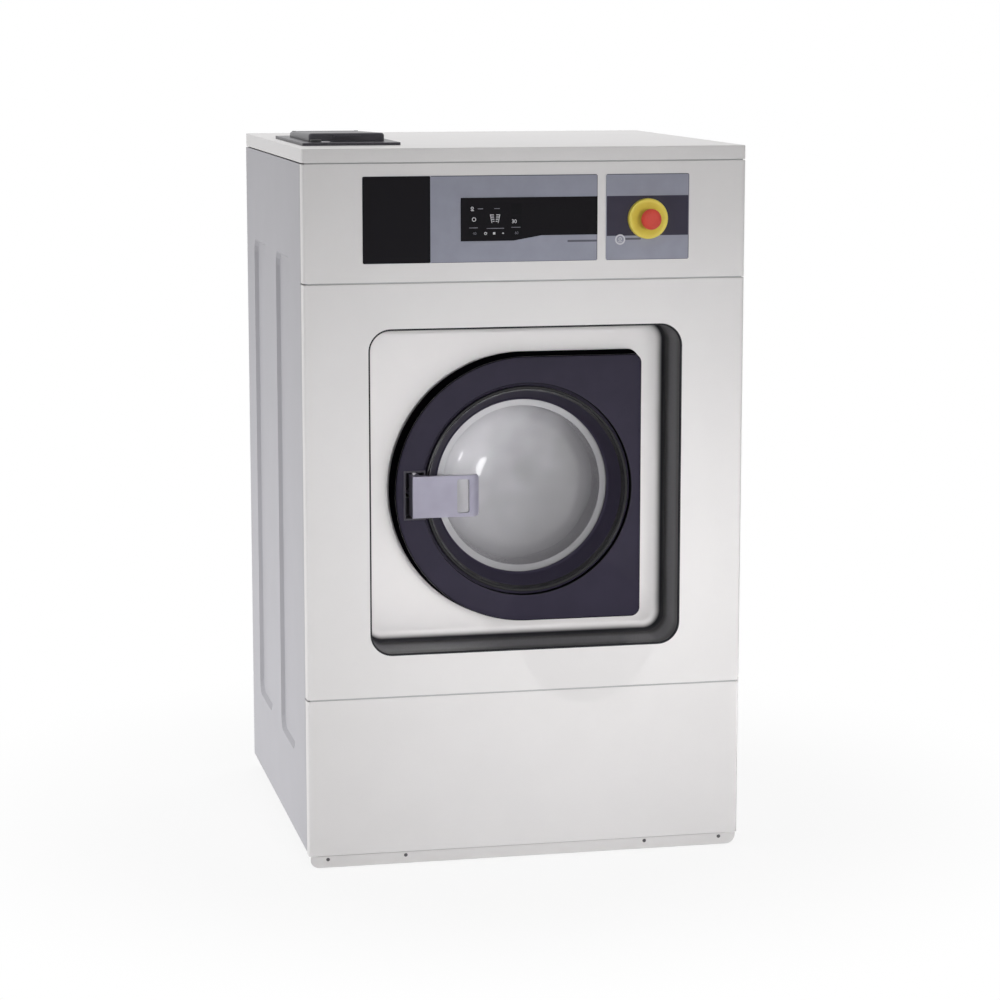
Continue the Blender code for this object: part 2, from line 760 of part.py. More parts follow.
def side_panel(name, side, machine):
    depth = HALF_WIDTH - BASE_WIDTH / 2 - FIT
    front = PANEL_WRAP + SEAM
    outer, inner = side * HALF_WIDTH, side * (HALF_WIDTH - depth)
    panel = piece(
        name,
        "side_steel",
        block(
            (min(outer, inner), front, SIDE_BOTTOM),
            (max(outer, inner), CABINET_DEPTH, FASCIA_TOP_Z),
        ),
        machine,
    )
    skin, open_end = side * (HALF_WIDTH - SHEET), side * (HALF_WIDTH - depth - OVERRUN)
    cut(
        panel,
        block(
            (min(skin, open_end), front + SHEET, SIDE_BOTTOM + SHEET),
            (max(skin, open_end), BACK_FACE_Y, FASCIA_TOP_Z - SHEET),
        ),
    )
    starts = (FRONT_RIB_START, FRONT_RIB_START + RIB_PITCH)
    join(panel, merge(*[rib(side, start, SHEET) for start in starts]))
    cut(panel, merge(*[rib(side, start, 0) for start in starts]))


def inlet_places():
    first = -HALF_WIDTH + INLET_FROM_SIDE
    return [(first + INLET_PITCH * number, FASCIA_TOP_Z - INLET_FROM_TOP) for number in range(2)]


def gland_place():
    return HALF_WIDTH - BOX_FROM_SIDE - BOX_WIDTH / 2, FASCIA_TOP_Z - BOX_FROM_TOP - BOX_HEIGHT / 2


def rear_panel(machine):
    half = BASE_WIDTH / 2
    sheet = block((-half, BACK_FACE_Y, SIDE_BOTTOM), (half, CABINET_DEPTH, FASCIA_TOP_Z))
    panel = piece("rear_panel", "side_steel", sheet, machine)
    low, high = BACK_FACE_Y - OVERRUN, CABINET_DEPTH + OVERRUN
    inlet_hole = INLET_RADIUS + BACK_HOLE_CLEAR
    holes = [disc(place, "y", inlet_hole, low, high, PIN_ROUND) for place in inlet_places()]
    holes.append(disc(gland_place(), "y", GLAND_BORE + BACK_HOLE_CLEAR, low, high, PIN_ROUND))
    holes.append(disc((DOOR_X, DRAIN_PIPE_Z), "y", DRAIN_BORE + DRAIN_WALL + BACK_HOLE_CLEAR, low, high))
    for number in range(VENT_COUNT):
        z = FASCIA_TOP_Z - VENT_FROM_TOP - VENT_PITCH * number
        slot = rounded(-VENT_LENGTH / 2, VENT_LENGTH / 2, z, z + VENT_HEIGHT, VENT_HEIGHT / 2, 2)
        holes.append(prism(slot, "y", low, high))
    cut(panel, merge(*holes))


def top_cover(machine):
    def plan(inset, corner):
        return rounded(
            -HALF_WIDTH + inset, HALF_WIDTH - inset, inset, CABINET_DEPTH - inset, corner, CORNER_STEPS
        )

    levels = [
        (COVER_BOTTOM_Z, 0),
        (CABINET_HEIGHT - TOP_EDGE, 0),
        (CABINET_HEIGHT - TOP_EDGE * EDGE_SHARE, TOP_EDGE * EDGE_SHARE),
        (CABINET_HEIGHT, TOP_EDGE),
    ]
    loops = [placed(plan(inset, PANEL_CORNER - inset), "z", z) for z, inset in levels]
    cover = piece("top_cover", "panel_steel", lofted(loops), machine)
    hollow = prism(plan(SHEET, PANEL_CORNER - SHEET), "z", COVER_BOTTOM_Z - OVERRUN, CABINET_HEIGHT - SHEET)
    cut(cover, hollow, hopper_box(FIT, CABINET_HEIGHT - SHEET - OVERRUN, CABINET_HEIGHT + OVERRUN))


def hopper_box(grow, low, high):
    """The box of the soap hopper under its flange."""
    return block(
        (HOPPER_X - HOPPER_WIDTH / 2 - grow, HOPPER_Y - grow, low),
        (HOPPER_X + HOPPER_WIDTH / 2 + grow, HOPPER_Y + HOPPER_DEPTH + grow, high),
    )


def recess_outline(grow):
    return rounded(
        -RECESS_WIDTH / 2 - grow,
        RECESS_WIDTH / 2 + grow,
        RECESS_BOTTOM_Z - grow,
        RECESS_BOTTOM_Z + RECESS_HEIGHT + grow,
        RECESS_CORNER + grow,
        RECESS_STEPS,
    )


def recess_form(wall, start):
    """The deep-drawn recess: its hollow or, with a wall, the form that backs it."""
    lip = RECESS_LIP + wall
    fillet = RECESS_FILLET + wall
    levels = [(start, lip), (wall, lip), (lip, wall)]
    for step in range(FILLET_STEPS + 1):
        turn = pi / 2 * step / FILLET_STEPS
        levels.append((RECESS_DEPTH + wall - fillet * (1 - sin(turn)), wall - fillet * (1 - cos(turn))))
    return lofted([placed(recess_outline(grow), "y", level) for level, grow in levels])


def front_panel(machine):
    panel = folded_panel("front_panel", FRONT_BOTTOM_Z, FRONT_TOP_Z, machine)
    join(panel, recess_form(SHEET, SHEET / 2))
    low, high = RECESS_DEPTH - OVERRUN, RECESS_DEPTH + SHEET + OVERRUN
    mouth = disc((DOOR_X, DOOR_Z), "y", frame_outer() + FLOOR_HOLE_CLEAR, low, high, DOOR_ROUND)
    left = HANDLE_PIN_X - TONGUE_WIDTH / 2 - 2 * TONGUE_CLEAR
    right = HANDLE_PIN_X + TONGUE_WIDTH / 2 + TONGUE_SWING + TONGUE_CLEAR / 3
    slot = block((left, low, HANDLE_Z - LOCK_MOUTH / 2), (right, high, HANDLE_Z + LOCK_MOUTH / 2))
    cut(panel, recess_form(0, -OVERRUN), mouth, slot)


def frame_outer():
    """The radius of the door frame where it enters the recess floor."""
    return GLASS_RADIUS + FIT + GASKET_WALL + FIT + FRAME_WALL


def overlays(machine):
    top = FASCIA_TOP_Z - OVERLAY_TOP
    bottom = top - OVERLAY_HEIGHT
    plate = rounded(OVERLAY_LEFT_START, OVERLAY_LEFT_END, bottom, top, OVERLAY_CORNER)
    piece("control_overlay_left", "overlay_grey", prism(plate, "y", OVERLAY_FRONT_Y, -FIT), machine)
    lens_start = OVERLAY_LEFT_START + LENS_INSET
    lens_top = top - LENS_TOP
    lens_bottom = lens_top - LENS_HEIGHT
    step = lens_start + LENS_STEP_START
    outline = [
        (lens_start, lens_bottom),
        (step, lens_bottom),
        (step + LENS_STEP_WIDTH, lens_bottom + LENS_STEP),
        (OVERLAY_LEFT_END, lens_bottom + LENS_STEP),
        (OVERLAY_LEFT_END, lens_top),
        (lens_start, lens_top),
    ]
    lens_back = OVERLAY_FRONT_Y - FIT
    piece("display_lens", "dark_plastic", prism(outline, "y", lens_back - LENS_PROUD, lens_back), machine)
    right_end = OVERLAY_RIGHT_START + OVERLAY_RIGHT_WIDTH
    plate = rounded(OVERLAY_RIGHT_START, right_end, bottom, top, OVERLAY_CORNER)
    other = piece("control_overlay_right", "overlay_grey", prism(plate, "y", OVERLAY_FRONT_Y, -FIT), machine)
    cut(other, disc((ESTOP_X, ESTOP_Z), "y", ESTOP_BORE, OVERLAY_FRONT_Y - OVERRUN, OVERRUN))
    back = SHEET + FIT
    piece(
        "control_module",
        "grey_plastic",
        block(
            (lens_start - MODULE_MARGIN, back, lens_bottom - MODULE_MARGIN),
            (OVERLAY_LEFT_END, back + MODULE_DEPTH, lens_top + MODULE_MARGIN),
        ),
        machine,
    )


def fascia_panel(machine):
    fascia = folded_panel("fascia_panel", FASCIA_BOTTOM_Z, FASCIA_TOP_Z, machine)
    cut(fascia, disc((ESTOP_X, ESTOP_Z), "y", ESTOP_BORE, -OVERRUN, SHEET + OVERRUN))


def emergency_stop(machine):
    centre = (ESTOP_X, ESTOP_Z)
    bore = PLUNGER_RADIUS + FIT
    throat = HEAD_WAIST + FIT + COLLAR_DISH
    rim = COLLAR_RADIUS - COLLAR_RIM
    collar = [
        (bore, COLLAR_BACK_Y),
        (COLLAR_RADIUS, COLLAR_BACK_Y),
        (COLLAR_RADIUS, COLLAR_FRONT_Y + COLLAR_RIM / 2),
        (COLLAR_RADIUS - COLLAR_RIM / 2, COLLAR_FRONT_Y),
        (rim, COLLAR_FRONT_Y),
        (throat, COLLAR_FRONT_Y + COLLAR_DISH),
        (bore, COLLAR_FRONT_Y + COLLAR_DISH),
    ]
    piece("estop_collar", "signal_yellow", turned(collar, centre, "y", KNOB_ROUND), machine)
    push = carrier("estop_push_axis", (ESTOP_X, HEAD_BACK_Y, ESTOP_Z), machine)
    twist = carrier("estop_twist_axis", (ESTOP_X, HEAD_FRONT_Y, ESTOP_Z), push)
    plunger_front = HEAD_BACK_Y - HEAD_SOCKET + FIT
    piece(
        "estop_plunger",
        "dark_plastic",
        disc(centre, "y", PLUNGER_RADIUS, plunger_front, plunger_front + PLUNGER_LENGTH),
        push,
    )
    head = [
        (PLUNGER_RADIUS + FIT, HEAD_BACK_Y),
        (HEAD_WAIST, HEAD_BACK_Y),
        (HEAD_RADIUS - HEAD_EDGE / 2, HEAD_BACK_Y - HEAD_FLARE),
        (HEAD_RADIUS, HEAD_BACK_Y - HEAD_CROWN),
        (HEAD_RADIUS, HEAD_FRONT_Y + 2 * HEAD_EDGE),
        (HEAD_RADIUS - HEAD_EDGE / 2, HEAD_FRONT_Y + HEAD_EDGE),
        (HEAD_RADIUS - 2 * HEAD_EDGE, HEAD_FRONT_Y),
        (0, HEAD_FRONT_Y),
        (0, HEAD_BACK_Y - HEAD_SOCKET),
        (PLUNGER_RADIUS + FIT, HEAD_BACK_Y - HEAD_SOCKET),
    ]
    piece("estop_head", "signal_red", turned(head, centre, "y", KNOB_ROUND), twist)
    half = BLOCK_SIDE / 2
    start = SHEET + FIT
    holder = piece(
        "estop_block",
        "grey_plastic",
        block((ESTOP_X - half, start, ESTOP_Z - half), (ESTOP_X + half, start + BLOCK_DEPTH, ESTOP_Z + half)),
        machine,
    )
    sink = plunger_front + PLUNGER_LENGTH + BLOCK_RELIEF
    cut(holder, disc(centre, "y", bore, -OVERRUN, sink))


def soap_hopper(machine):
    half = HOPPER_FLANGE_WIDTH / 2
    flange_low = CABINET_HEIGHT + FIT
    end = HOPPER_START + HOPPER_FLANGE_DEPTH
    plate = rounded(HOPPER_X - half, HOPPER_X + half, HOPPER_START, end, HOPPER_FLANGE)
    hopper = piece("soap_hopper", "black_plastic", prism(plate, "z", flange_low, FLANGE_TOP_Z), machine)
    bottom = CABINET_HEIGHT - HOPPER_SINK
    join(hopper, hopper_box(0, bottom, FLANGE_TOP_Z - HOPPER_FLANGE / 2))
    cell = (HOPPER_DEPTH - HOPPER_WALL) / HOPPER_CELLS
    inner = HOPPER_WIDTH / 2 - HOPPER_WALL
    floor, top = bottom + HOPPER_WALL, FLANGE_TOP_Z + OVERRUN
    cells = []
    for number in range(HOPPER_CELLS):
        start = HOPPER_Y + HOPPER_WALL + cell * number
        end = start + cell - HOPPER_WALL
        cells.append(block((HOPPER_X - inner, start, floor), (HOPPER_X + inner, end, top)))
    slot_half = HOPPER_SLOT / 2
    slot = block(
        (HOPPER_X - slot_half, HOPPER_Y + 2 * HOPPER_WALL, floor),
        (HOPPER_X + slot_half, HOPPER_Y + HOPPER_DEPTH - 2 * HOPPER_WALL, floor + HOPPER_SLOT),
    )
    cut(hopper, merge(*cells), slot)
    outlet = disc(hopper_outlet()[:2], "z", HOSE_BORE, bottom - OVERRUN, bottom + 2 * HOPPER_WALL, PIN_ROUND)
    cut(hopper, outlet)
    soap_lid(hopper, machine)
    lock_x = HOPPER_X - SOAP_LOCK_SIDE
    lock_y = HOPPER_START + SOAP_LOCK_SETBACK
    base = FLANGE_TOP_Z + FIT
    edge = SOAP_LOCK_HEIGHT / 4
    knob = [
        (0, base),
        (SOAP_LOCK_RADIUS, base),
        (SOAP_LOCK_RADIUS, base + SOAP_LOCK_HEIGHT - edge),
        (SOAP_LOCK_RADIUS - edge, base + SOAP_LOCK_HEIGHT),
        (0, base + SOAP_LOCK_HEIGHT),
    ]
    piece("soap_lock", "dark_plastic", turned(knob, (lock_x, lock_y), "z", SMALL_ROUND), machine)


def lid_axis():
    """The lid turns on two pins behind its rear edge, in ears that stand on the flange."""
    lid_back = HOPPER_Y + HOPPER_DEPTH / 2 + LID_DEPTH / 2
    return lid_back + EAR_RADIUS + FIT, FLANGE_TOP_Z + EAR_RADIUS


def soap_lid(hopper, machine):
    axis_y, axis_z = lid_axis()
    hinge = carrier("soap_lid_axis", (HOPPER_X, axis_y, axis_z), machine)
    half = LID_WIDTH / 2
    back = axis_y - EAR_RADIUS - FIT
    front = back - LID_DEPTH
    low = FLANGE_TOP_Z + FIT
    levels = [(low, 0), (low + LID_HEIGHT - LID_EDGE, 0), (low + LID_HEIGHT, LID_EDGE)]

    def loop(level, inset):
        drop = LID_SLOPE if level > low else 0
        side = half - inset
        plan = rounded(HOPPER_X - side, HOPPER_X + side, front + inset, back - inset, LID_EDGE)
        return [(x, y, level - drop * (y - front) / LID_DEPTH) for x, y in plan]

    lid = piece("soap_lid", "black_plastic", lofted([loop(level, inset) for level, inset in levels]), hinge)
    inner = half - LID_WALL
    inner_front, inner_back = front + LID_WALL, back - LID_WALL
    cut(
        lid,
        block(
            (HOPPER_X - inner, inner_front, low - OVERRUN),
            (HOPPER_X + inner, inner_back, low + LID_WALL),
        ),
    )
    lip_half = LID_LIP_WIDTH / 2
    lip_z = low + LID_HEIGHT / 2
    lip = block(
        (HOPPER_X - lip_half, front - LID_LIP, lip_z),
        (HOPPER_X + lip_half, inner_front, lip_z + LID_WALL),
    )
    barrel_half = half - 2 * EAR_WIDTH
    barrel_ends = (HOPPER_X - barrel_half, HOPPER_X + barrel_half)
    barrel = disc((axis_y, axis_z), "x", EAR_RADIUS - FIT, *barrel_ends, PIN_ROUND)
    web = block((barrel_ends[0], inner_back, low), (barrel_ends[1], axis_y, low + EAR_RADIUS))
    pin_half = half - EAR_WIDTH / 2
    pin = disc((axis_y, axis_z), "x", LID_PIN, HOPPER_X - pin_half, HOPPER_X + pin_half, PIN_ROUND)
    join(lid, lip, web, barrel, pin)
    ears = []
    holes = []
    for side in (-1, 1):
        inner_x = HOPPER_X + side * (barrel_half + FIT)
        outer_x = HOPPER_X + side * (barrel_half + FIT + EAR_WIDTH)
        low_x, high_x = min(inner_x, outer_x), max(inner_x, outer_x)
        outline = [(axis_y - EAR_RADIUS, FLANGE_TOP_Z - HOPPER_FLANGE / 2)]
        outline.append((axis_y + EAR_RADIUS, FLANGE_TOP_Z - HOPPER_FLANGE / 2))
        outline += arc((axis_y, axis_z), EAR_RADIUS, 0, pi, 2 * CORNER_STEPS)
        ears.append(prism(outline, "x", low_x, high_x))
        holes.append(disc((axis_y, axis_z), "x", LID_PIN + FIT, low_x - FIT, high_x + FIT, PIN_ROUND))
    join(hopper, merge(*ears))
    cut(hopper, merge(*holes))


def cover_outline(inset):
    """The D of the door cover about the door's axis: a half round at the left, two corners at the right."""
    radius, right, corner = COVER_RADIUS - inset, COVER_REACH - inset, COVER_CORNER - inset
    points = arc((0, 0), radius, pi / 2, 3 * pi / 2, COVER_ARC_STEPS)
    run = right - corner
    points += [(run * step / COVER_EDGE_STEPS, -radius) for step in range(1, COVER_EDGE_STEPS)]
    points += arc((run, corner - radius), corner, -pi / 2, 0, CORNER_STEPS)
    rise = 2 * (radius - corner) / COVER_SIDE_STEPS
    points += [(right, corner - radius + rise * step) for step in range(1, COVER_SIDE_STEPS)]
    points += arc((run, radius - corner), corner, 0, pi / 2, CORNER_STEPS)
    points += [(run * (1 - step / COVER_EDGE_STEPS), radius) for step in range(1, COVER_EDGE_STEPS)]
    return points


def about_door(points, level):
    return placed([(DOOR_X + u, DOOR_Z + v) for u, v in points], "y", level)


def cover_circle(radius):
    """A circle with a point in the direction of each point of the D."""
    angles = [atan2(v, u) for u, v in cover_outline(0)]
    return [(radius * cos(a), radius * sin(a)) for a in angles]


def door_cover(door):
    front, back = COVER_FRONT_Y, COVER_BACK_Y
    edge = COVER_DRAFT + COVER_EDGE
    rim = COVER_EDGE / 2
    loops = [
        about_door(cover_outline(0), back),
        about_door(cover_outline(COVER_DRAFT), front + COVER_EDGE),
        about_door(cover_outline(COVER_DRAFT + COVER_EDGE * EDGE_SHARE), front + COVER_EDGE * EDGE_SHARE),
        about_door(cover_outline(edge), front),
        about_door(cover_circle(COVER_HOLE + rim), front),
        about_door(cover_circle(COVER_HOLE), front + rim),
        about_door(cover_circle(COVER_HOLE), front + COVER_RIM),
        about_door(cover_circle(COVER_HOLE + COVER_WALL), front + COVER_RIM),
        about_door(cover_circle(COVER_HOLE + COVER_WALL), front + COVER_WALL),
        about_door(cover_outline(edge + COVER_WALL), front + COVER_WALL),
        about_door(cover_outline(COVER_WALL), back),
    ]
    cover = piece("door_cover", "black_plastic", lofted(loops, ring=True), door)
    bosses = []
    reach = frame_flange_y() - FIT
    for number in range(COVER_BOSSES):
        turn = 2 * pi * (number + 1 / 2) / COVER_BOSSES
        place = (DOOR_X + boss_circle() * cos(turn), DOOR_Z + boss_circle() * sin(turn))
        bosses.append(disc(place, "y", COVER_BOSS, front + COVER_WALL / 2, reach, BOSS_ROUND))
    join(cover, merge(*bosses))
    cut(cover, housing_form(FIT, -OVERRUN), merge(*hinge_notches()))


def boss_circle():
    return COVER_HOLE + COVER_WALL + COVER_BOSS + COVER_EDGE / 3


def hinge_notches():
    """Gaps in the cover's right wall, where the bracket's arms pass as the door swings."""
    notches = []
    for z in arm_places():
        low, high = z - ARM_HEIGHT / 2 - NOTCH_CLEAR, z + ARM_HEIGHT / 2 + NOTCH_CLEAR
        inner = DOOR_X + COVER_REACH - COVER_DRAFT - COVER_EDGE - 2 * COVER_WALL
        outer = DOOR_X + COVER_REACH + OVERRUN
        notches.append(block((inner, COVER_FRONT_Y + COVER_EDGE, low), (outer, COVER_BACK_Y + OVERRUN, high)))
    return notches


def arm_places():
    """Levels of the bracket's arms: each lies just outside a lug of the door frame."""
    step = HINGE_SPREAD + LUG_HEIGHT / 2 + ARM_GAP + ARM_HEIGHT / 2
    return DOOR_Z - step, DOOR_Z + step


def bezel_profile():
    """The funnel between the cover's hole and the glass."""
    outer = COVER_HOLE - BEZEL_GROOVE
    top = COVER_FRONT_Y + BEZEL_LIP / 2
    seat = COVER_FRONT_Y + COVER_RIM + FIT
    foot = COVER_FRONT_Y + BEZEL_DEPTH
    return [
        (outer, top + BEZEL_LIP / 4),
        (outer - BEZEL_LIP / 2, top),
        (outer - BEZEL_LIP, top + BEZEL_LIP / 2),
        (GLASS_SIGHT + BEZEL_WALL, foot - BEZEL_LIP),
        (GLASS_SIGHT, foot - BEZEL_LIP / 2),
        (GLASS_SIGHT, foot),
        (GLASS_SIGHT + BEZEL_FOOT, foot),
        (outer - BEZEL_LIP / 2, seat + BEZEL_FLANGE),
        (COVER_HOLE + BEZEL_REACH, seat + BEZEL_FLANGE),
        (COVER_HOLE + BEZEL_REACH, seat),
        (outer, seat),
    ]


def frame_flange_y():
    return GLASS_Y - FRAME_PLATE - 2 * FIT


def door_frame(door):
    """The cast ring that clamps the glass, with a flange for the cover's bosses and two hinge lugs."""
    inner = GLASS_RADIUS + FIT + GASKET_WALL + FIT
    outer = frame_outer()
    flange = frame_flange_y()
    lip = GLASS_Y + GLASS_WALL + FIT + GASKET_LEG + FIT
    profile = [
        (inner, flange + FRAME_PLATE / 2),
        (inner + FRAME_WALL, flange),
        (FRAME_FLANGE, flange),
        (FRAME_FLANGE, flange + FRAME_PLATE),
        (outer, flange + FRAME_PLATE),
        (outer, lip + FRAME_LIP),
        (inner - GASKET_WALL * 2, lip + FRAME_LIP),
        (inner - GASKET_WALL * 2, lip),
        (inner, lip),
    ]
    frame = piece("door_frame", "cast_metal", turned(profile, (DOOR_X, DOOR_Z), "y", DOOR_ROUND), door)
    lugs = []
    root = DOOR_X + sqrt(FRAME_FLANGE**2 - HINGE_SPREAD**2)
    back = flange + FRAME_PLATE
    outline = arc((HINGE_X, HINGE_Y), HINGE_KNUCKLE, -pi / 2, pi / 2, 2 * CORNER_STEPS)
    outline += [(root, back), (root - FRAME_WALL * 4, back), (root - FRAME_WALL * 4, flange), (root, flange)]
    outline += [(HINGE_X - HINGE_KNUCKLE, HINGE_Y - HINGE_KNUCKLE / 2)]
    for z in (DOOR_Z - HINGE_SPREAD, DOOR_Z + HINGE_SPREAD):
        lugs.append(prism(outline, "z", z - LUG_HEIGHT / 2, z + LUG_HEIGHT / 2))
    join(frame, merge(*lugs))
    reach = HINGE_SPREAD + LUG_HEIGHT
    pin_hole = disc((HINGE_X, HINGE_Y), "z", HINGE_PIN + HINGE_RUN, DOOR_Z - reach, DOOR_Z + reach, PIN_ROUND)
    notch = block(
        (DOOR_X - FRAME_FLANGE - OVERRUN, flange - OVERRUN, HANDLE_Z - LOCK_MOUTH / 2),
        (DOOR_X - outer - 2 * FRAME_WALL, back + OVERRUN, HANDLE_Z + LOCK_MOUTH / 2),
    )
    trim = block(
        (HINGE_X + FRAME_TRIM, flange - OVERRUN, DOOR_Z - HINGE_SPREAD / 2),
        (DOOR_X + FRAME_FLANGE + OVERRUN, back + OVERRUN, DOOR_Z + HINGE_SPREAD / 2),
    )
    cut(frame, pin_hole, notch, trim)


def door_glass(door):
    """A pressed glass bowl, clamped at its flange in a rubber channel."""
    centre = (DOOR_X, DOOR_Z)
    back = GLASS_Y + GLASS_WALL
    depth = GLASS_BULGE - GLASS_WALL
    core = GLASS_THROAT - GLASS_WALL
    outside = [(GLASS_THROAT * wide, back + depth * deep) for wide, deep in BOWL_SHARES]
    inside = [(core * wide, GLASS_Y + depth * deep) for wide, deep in reversed(BOWL_SHARES)]
    root = GLASS_WALL / 3
    profile = [(GLASS_RADIUS, GLASS_Y), (GLASS_RADIUS, back), (GLASS_THROAT + root, back)]
    profile += outside + inside + [(core + root, GLASS_Y)]
    piece("door_glass", "clear_glass", turned(profile, centre, "y", DOOR_ROUND), door)
    inner = GLASS_RADIUS - 2 * GASKET_WALL
    outer = GLASS_RADIUS + FIT + GASKET_WALL
    seat = GLASS_RADIUS + FIT
    gasket = [
        (inner, GLASS_Y - FIT - GASKET_LEG),
        (outer, GLASS_Y - FIT - GASKET_LEG),
        (outer, back + FIT + GASKET_LEG),
        (inner, back + FIT + GASKET_LEG),
        (inner, back + FIT),
        (seat, back + FIT),
        (seat, GLASS_Y - FIT),
        (inner, GLASS_Y - FIT),
    ]
    piece("glass_gasket", "rubber", turned(gasket, centre, "y", DOOR_ROUND), door)


def hinge_bracket(machine):
    """A plate on the recess floor beside the door's hole, with two arms that hold the hinge pin."""
    back = RECESS_DEPTH - FIT
    front = back - BRACKET_PLATE
    low_arm, high_arm = arm_places()
    left = HINGE_X - HINGE_KNUCKLE
    margin = ARM_HEIGHT / 2 + BRACKET_MARGIN
    plate = rounded(left, left + BRACKET_WIDTH, low_arm - margin, high_arm + margin, BRACKET_MARGIN / 2, 3)
    bracket = piece("hinge_bracket", "stainless", prism(plate, "y", front, back), machine)
    arms = []
    outline = arc((HINGE_X, HINGE_Y), HINGE_KNUCKLE, -pi, 0, 2 * CORNER_STEPS)
    outline += [(HINGE_X + HINGE_KNUCKLE, front + BRACKET_PLATE / 2), (left, front + BRACKET_PLATE / 2)]
    for z in (low_arm, high_arm):
        arms.append(prism(outline, "z", z - ARM_HEIGHT / 2, z + ARM_HEIGHT / 2))
    join(bracket, merge(*arms))
    reach = high_arm - DOOR_Z + ARM_HEIGHT
    cut(
        bracket,
        disc((HINGE_X, HINGE_Y), "z", HINGE_PIN + FIT, DOOR_Z - reach, DOOR_Z + reach, PIN_ROUND),
    )
    end = high_arm - DOOR_Z + ARM_HEIGHT / 2
    pin = [
        (0, DOOR_Z - end),
        (HINGE_PIN, DOOR_Z - end),
        (HINGE_PIN, DOOR_Z + end + FIT),
        (HINGE_PIN_HEAD, DOOR_Z + end + FIT),
        (HINGE_PIN_HEAD, DOOR_Z + end + HINGE_PIN),
        (0, DOOR_Z + end + HINGE_PIN),
    ]
    piece("hinge_pin", "stainless", turned(pin, (HINGE_X, HINGE_Y), "z", PIN_ROUND), machine)


def housing_form(grow, front):
    """The outside of the handle's housing in the cover."""
    left = HANDLE_LEFT_X - HOUSING_LEFT
    half = HANDLE_HEIGHT / 2 + HOUSING_MARGIN
    return block(
        (left - grow, COVER_FRONT_Y + front, HANDLE_Z - half - grow),
        (left + HOUSING_WIDTH + grow, COVER_FRONT_Y + HOUSING_DEPTH + grow, HANDLE_Z + half + grow),
    )


def door_handle(door):
    """The pull handle: a plate that curls back at its free end, a neck on the pin and the lock's tongue."""
    housing = piece("handle_housing", "black_plastic", housing_form(0, FIT), door)
    left = HANDLE_LEFT_X - HOUSING_LEFT
    right = left + HOUSING_WIDTH
    half = HANDLE_HEIGHT / 2 + HOUSING_MARGIN
    wall = HOUSING_WALL
    inside = block(
        (left + wall, COVER_FRONT_Y - OVERRUN, HANDLE_Z - half + wall),
        (right - wall, COVER_FRONT_Y + HOUSING_DEPTH - wall, HANDLE_Z + half - wall),
    )
    slot_left = HANDLE_PIN_X - TONGUE_WIDTH / 2 - TONGUE_CLEAR
    slot_right = HANDLE_PIN_X + TONGUE_WIDTH / 2 + TONGUE_SWING
    slot = block(
        (slot_left, COVER_FRONT_Y, HANDLE_Z - LOCK_MOUTH / 2),
        (slot_right, COVER_FRONT_Y + HOUSING_DEPTH + OVERRUN, HANDLE_Z + LOCK_MOUTH / 2),
    )
    pin_place = (HANDLE_PIN_X, HANDLE_PIN_Y)
    reach = half + OVERRUN
    bore = disc(pin_place, "z", HANDLE_PIN + FIT, HANDLE_Z - reach, HANDLE_Z + reach, PIN_ROUND)
    cut(housing, inside, slot, bore)

    axis = carrier("door_handle_axis", (HANDLE_PIN_X, HANDLE_PIN_Y, HANDLE_Z), door)
    front = COVER_FRONT_Y - HANDLE_PROUD
    end = HANDLE_LEFT_X + HANDLE_LENGTH
    back = front + HANDLE_WALL
    curl = [(end - HANDLE_BAR * run, HANDLE_CURL * rise) for run, rise in CURL_SHARES]
    neck_end = HANDLE_PIN_Y + HANDLE_NECK / 2
    outline = [(HANDLE_LEFT_X, neck_end), (HANDLE_LEFT_X, front)]
    outline += [(x, front + rise) for x, rise in curl]
    outline += [(x, back + rise) for x, rise in reversed(curl)]
    outline += [(HANDLE_LEFT_X + HANDLE_NECK * 2, back), (HANDLE_LEFT_X + HANDLE_NECK, back + HANDLE_WALL)]
    outline += [(HANDLE_LEFT_X + HANDLE_NECK, neck_end)]
    low, high = HANDLE_Z - HANDLE_HEIGHT / 2, HANDLE_Z + HANDLE_HEIGHT / 2
    handle = piece("door_handle", "handle_grey", prism(outline, "z", low, high), axis)
    margin = HANDLE_SLOT_MARGIN
    window_right = end - HANDLE_BAR
    window = rounded(window_right - HANDLE_SLOT, window_right, low + margin, high - margin, margin / 2)
    cut(handle, prism(window, "y", front - OVERRUN, back + OVERRUN))
    rounding = handle.modifiers.new("Edges", "BEVEL")
    rounding.width = HANDLE_EDGE
    rounding.segments = 1
    rounding.limit_method = "ANGLE"
    rounding.angle_limit = radians(60)
    tongue_half = TONGUE_WIDTH / 2
    nose = TONGUE_WIDTH / 4
    tongue = [
        (HANDLE_PIN_X - tongue_half, HANDLE_PIN_Y),
        (HANDLE_PIN_X + tongue_half, HANDLE_PIN_Y),
        (HANDLE_PIN_X + tongue_half, TONGUE_END_Y - nose),
        (HANDLE_PIN_X + tongue_half - nose, TONGUE_END_Y),
        (HANDLE_PIN_X - tongue_half + nose, TONGUE_END_Y),
        (HANDLE_PIN_X - tongue_half, TONGUE_END_Y - nose),
    ]
    join(handle, prism(tongue, "z", HANDLE_Z - TONGUE_WALL / 2, HANDLE_Z + TONGUE_WALL / 2))
    pin_hole = disc(pin_place, "z", HANDLE_PIN + FIT, low - OVERRUN, high + OVERRUN, PIN_ROUND)
    bolt_place = (HANDLE_PIN_X, LOCK_BOLT_Y)
    tongue_low, tongue_high = HANDLE_Z - TONGUE_WALL, HANDLE_Z + TONGUE_WALL
    bolt_hole = disc(bolt_place, "z", LOCK_BOLT + LOCK_BOLT_RUN, tongue_low, tongue_high, PIN_ROUND)
    cut(handle, pin_hole, bolt_hole)
    pin_low, pin_high = HANDLE_Z - half + FIT, HANDLE_Z + half - FIT
    piece("handle_pin", "stainless", disc(pin_place, "z", HANDLE_PIN, pin_low, pin_high, PIN_ROUND), door)


